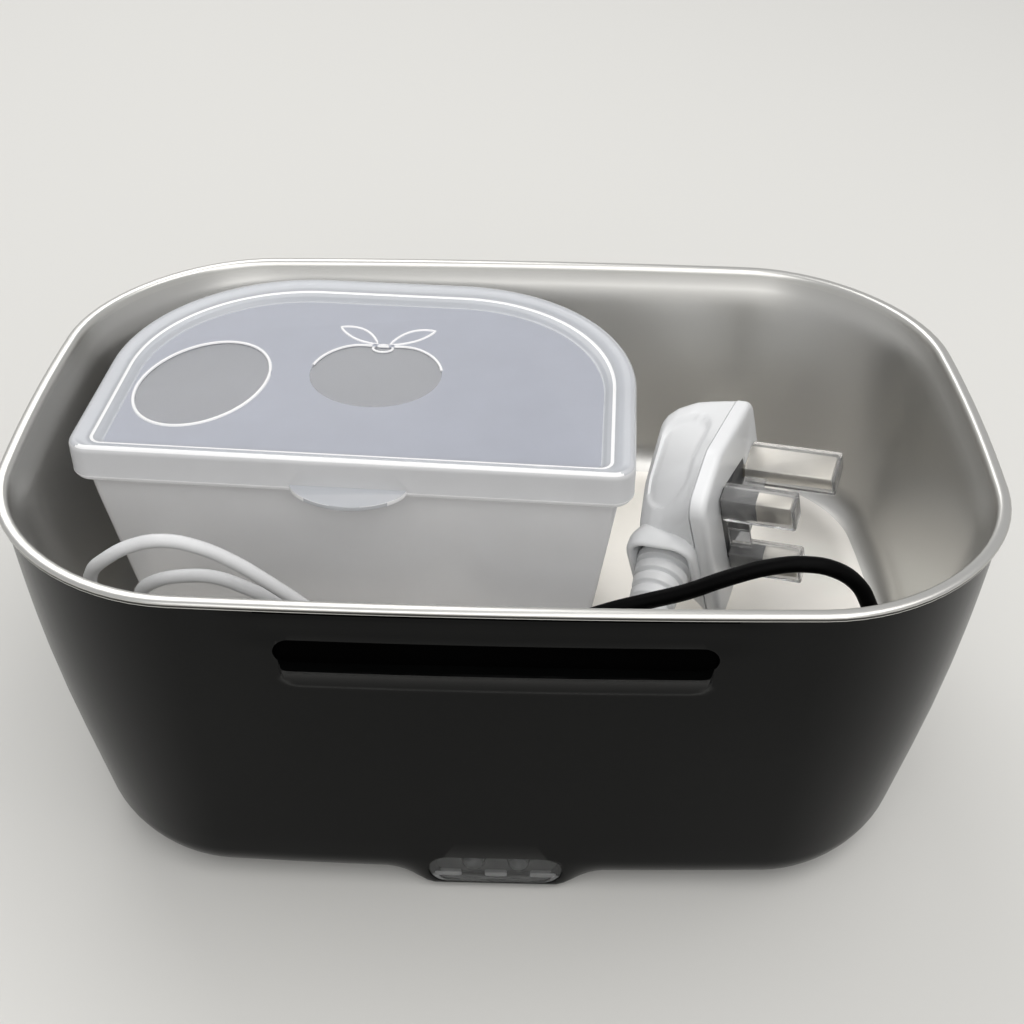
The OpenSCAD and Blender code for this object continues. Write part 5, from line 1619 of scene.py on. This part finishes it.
# %% [markdown]
# ## Connectors and the car plug
#
# The leads end in a figure-8 connector and a barrel connector. The car plug has
# a grip with length-wise ridges, a nose with two spring contacts, and a brass
# tip. Ridges and grooves are made by the rings, whose radius changes round the
# turn.

# %% Ridged and turned pieces along X
def along_x(x, y, z):
    """The frame of a turned piece along X; its place is in mm, with z above the tray's floor."""
    return lambda a, b, distance: (x + distance, y + a, TRAY_FLOOR + z + b)


def ridged(name, section, ridges, depth, frame_at, steps=96):
    """Like turned, but the radius also waves; the section holds (radius, distance, share of the ridges)."""
    rings = []
    for radius, distance, share in section:
        ring = []
        for k in range(steps):
            t = 2 * math.pi * k / steps
            wave = radius - depth * share * (0.5 + 0.5 * math.cos(ridges * t)) ** 2
            ring.append(frame_at(wave * math.cos(t), wave * math.sin(t), distance))
        rings.append(ring)
    return ringed(name, rings)


# %% Car plug
CAR_GRIP_X, CAR_Y, CAR_Z, CAR_NOSE = -58, -50, 11.5, 22
along_car = along_x(CAR_GRIP_X, CAR_Y, CAR_Z)
grip_section = [(9.2, -0.2, 0), (10.2, 0, 0), (10.8, 0.5, 0), (11, 1.2, 0), (11, 3, 0), (11, 4.2, 1)]
grip_section += [(11, 6 + 2 * i, 1) for i in range(8)]
grip_section += [(11, 22, 1), (11, 23.2, 0), (10.9, 25.4, 0), (10.4, 26.4, 0), (9.4, 27, 0), (6.2, 27.2, 0),
                 (5.9, 28, 0)]
for i in range(5):
    land, groove, at = 5.9 - 0.5 * i, 5.0 - 0.45 * i, 1.8 * i
    grip_section += [(land, 28.4 + at, 0), (land, 29.2 + at, 0), (groove, 29.5 + at, 0)]
grip_section += [(3.0, 37.4, 0)]
car_grip = ridged("car_plug_grip", grip_section, 16, 0.7, along_car)
nose_section = [(8.2, -CAR_NOSE), (9.6, -CAR_NOSE + 0.1), (10, -CAR_NOSE + 0.5), (10, -8), (9.8, -7.6),
                (9.8, -6.8), (10, -6.4), (10, -1.2), (9.4, -0.9), (9.4, 0.6)]
car_nose = turned("car_plug_nose", nose_section, along_car, 64)
for side in (-1, 1):
    spring_way = post("spring_way", along_car(side * 11.5, 0, -17.5), 1.6, 3.4, 24, (0, -side, 0))
    combined(car_nose, spring_way, "DIFFERENCE")
car_body = joined("car_plug_shell", [car_grip, car_nose])
dressed(car_body, 35, base_black, "stored_leads", "car_plug_body")

# %% Figure-8 connector
CONNECTOR_Y, CONNECTOR_Z, TAIL_X = -47, 14.9, -4
EIGHT_RADIUS, EIGHT_APART, EIGHT_STEPS = 4.1, 3.6, 27
connector_high = TRAY_FLOOR + CONNECTOR_Z


def eight_ring(inset, x):
    """A figure-8 outline: two half circles with straight bridges."""
    radius = EIGHT_RADIUS - inset
    ring = []
    for side in (1, -1):
        for k in range(EIGHT_STEPS + 1):
            t = side * math.pi / 2 - math.pi * k / EIGHT_STEPS
            y = CONNECTOR_Y + side * EIGHT_APART + radius * math.cos(t)
            ring.append((x, y, connector_high + radius * math.sin(t)))
    return ring


eight_section = [(1.2, 3.3), (0.4, 3.5), (0.1, 3.9), (0, 4.6), (0, 8), (0.35, 8.3), (0.35, 9.1), (0, 9.4),
                 (0, 19.6), (0.2, 20.2), (0.6, 20.5)]
connector = ringed("appliance_connector_shell", [eight_ring(*p) for p in eight_section])
for side in (-1, 1):
    contact_place = (11.5, CONNECTOR_Y + side * 4.3, connector_high)
    combined(connector, post("contact_way", contact_place, 1.4, 10, 24, (1, 0, 0)), "DIFFERENCE")
tail_section = [(1.9, 0), (2.3, 0.15), (2.5, 0.5)]
for i in range(3):
    wider, at = 0.3 * i, 2 * i
    tail_section += [(2.6 + wider, 1.2 + at), (2.75 + wider, 1.9 + at), (2.3 + wider, 2.2 + at),
                     (2.3 + wider, 2.7 + at)]
tail_section += [(3.5, 7.2), (3.5, 7.8)]
tail = turned("connector_tail", tail_section, along_x(TAIL_X, CONNECTOR_Y, CONNECTOR_Z), 40)
connector = joined("mains_connector", [connector, tail])
dressed(connector, 40, connector_white, "stored_leads", "appliance_connector")

# %% Barrel connector
BARREL_X, BARREL_Y, BARREL_Z = 66, -46, 13.2
barrel_section = [(2.0, -4, 0), (2.4, -3.9, 0), (2.6, -3.4, 0), (2.8, -2.6, 0), (2.5, -2.3, 0),
                  (2.6, -1.7, 0), (3.3, -1.5, 0), (3.4, -0.7, 0), (3.2, -0.4, 0), (4.2, -0.1, 0),
                  (4.7, 0.3, 0), (4.8, 0.9, 0), (4.8, 1.4, 1), (4.8, 7.4, 1), (4.8, 7.9, 0), (4.7, 8.6, 0),
                  (4.3, 9, 0)]
along_barrel = along_x(BARREL_X, BARREL_Y, BARREL_Z)
barrel_grip = ridged("barrel_connector_grip", barrel_section, 20, 0.35, along_barrel, 120)
dressed(barrel_grip, 40, base_black, "stored_leads", "dc_connector_body")

# %% [markdown]
# ## Finishes for the solids that stay
#
# The pieces under the tray are simple machined and moulded parts whose loaded
# solids already have the right shape. They keep their meshes and get finishes.

# %% Finishes of the inner pieces
worn_by = [
    (base_black, "base_cover mains_socket low_voltage_socket"),
    (tub_grey, "inner_tub"),
    (aluminium, "heater_plate heating_elements"),
    (silicone, "heater_gasket"),
    (plated, "heater_straps strap_screws base_screws car_plug_springs"),
    (phenolic, "thermostats"),
    (ceramic, "thermal_fuses plug_fuse"),
    (board_green, "indicator_board"),
    (lamp_grey, "indicator_lamps"),
    (nickel, "mains_socket_pins dc_connector_barrel"),
    (rubber, "rubber_feet"),
    (wire_red, "mains_wires"),
    (wire_black, "low_voltage_wires"),
    (dark_grey, "plug_face_plate fuse_carrier car_plug_ring"),
    (brass, "car_plug_tip"),
]
finished_solids = set()
for paint, names in worn_by:
    for name in names.split():
        wear_it(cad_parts[name], paint)
        finished_solids.add(name)
shown = {name for name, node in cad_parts.items() if not node.hide_render}
print("solids with a finish:", len(finished_solids), "without one:", sorted(shown - finished_solids))
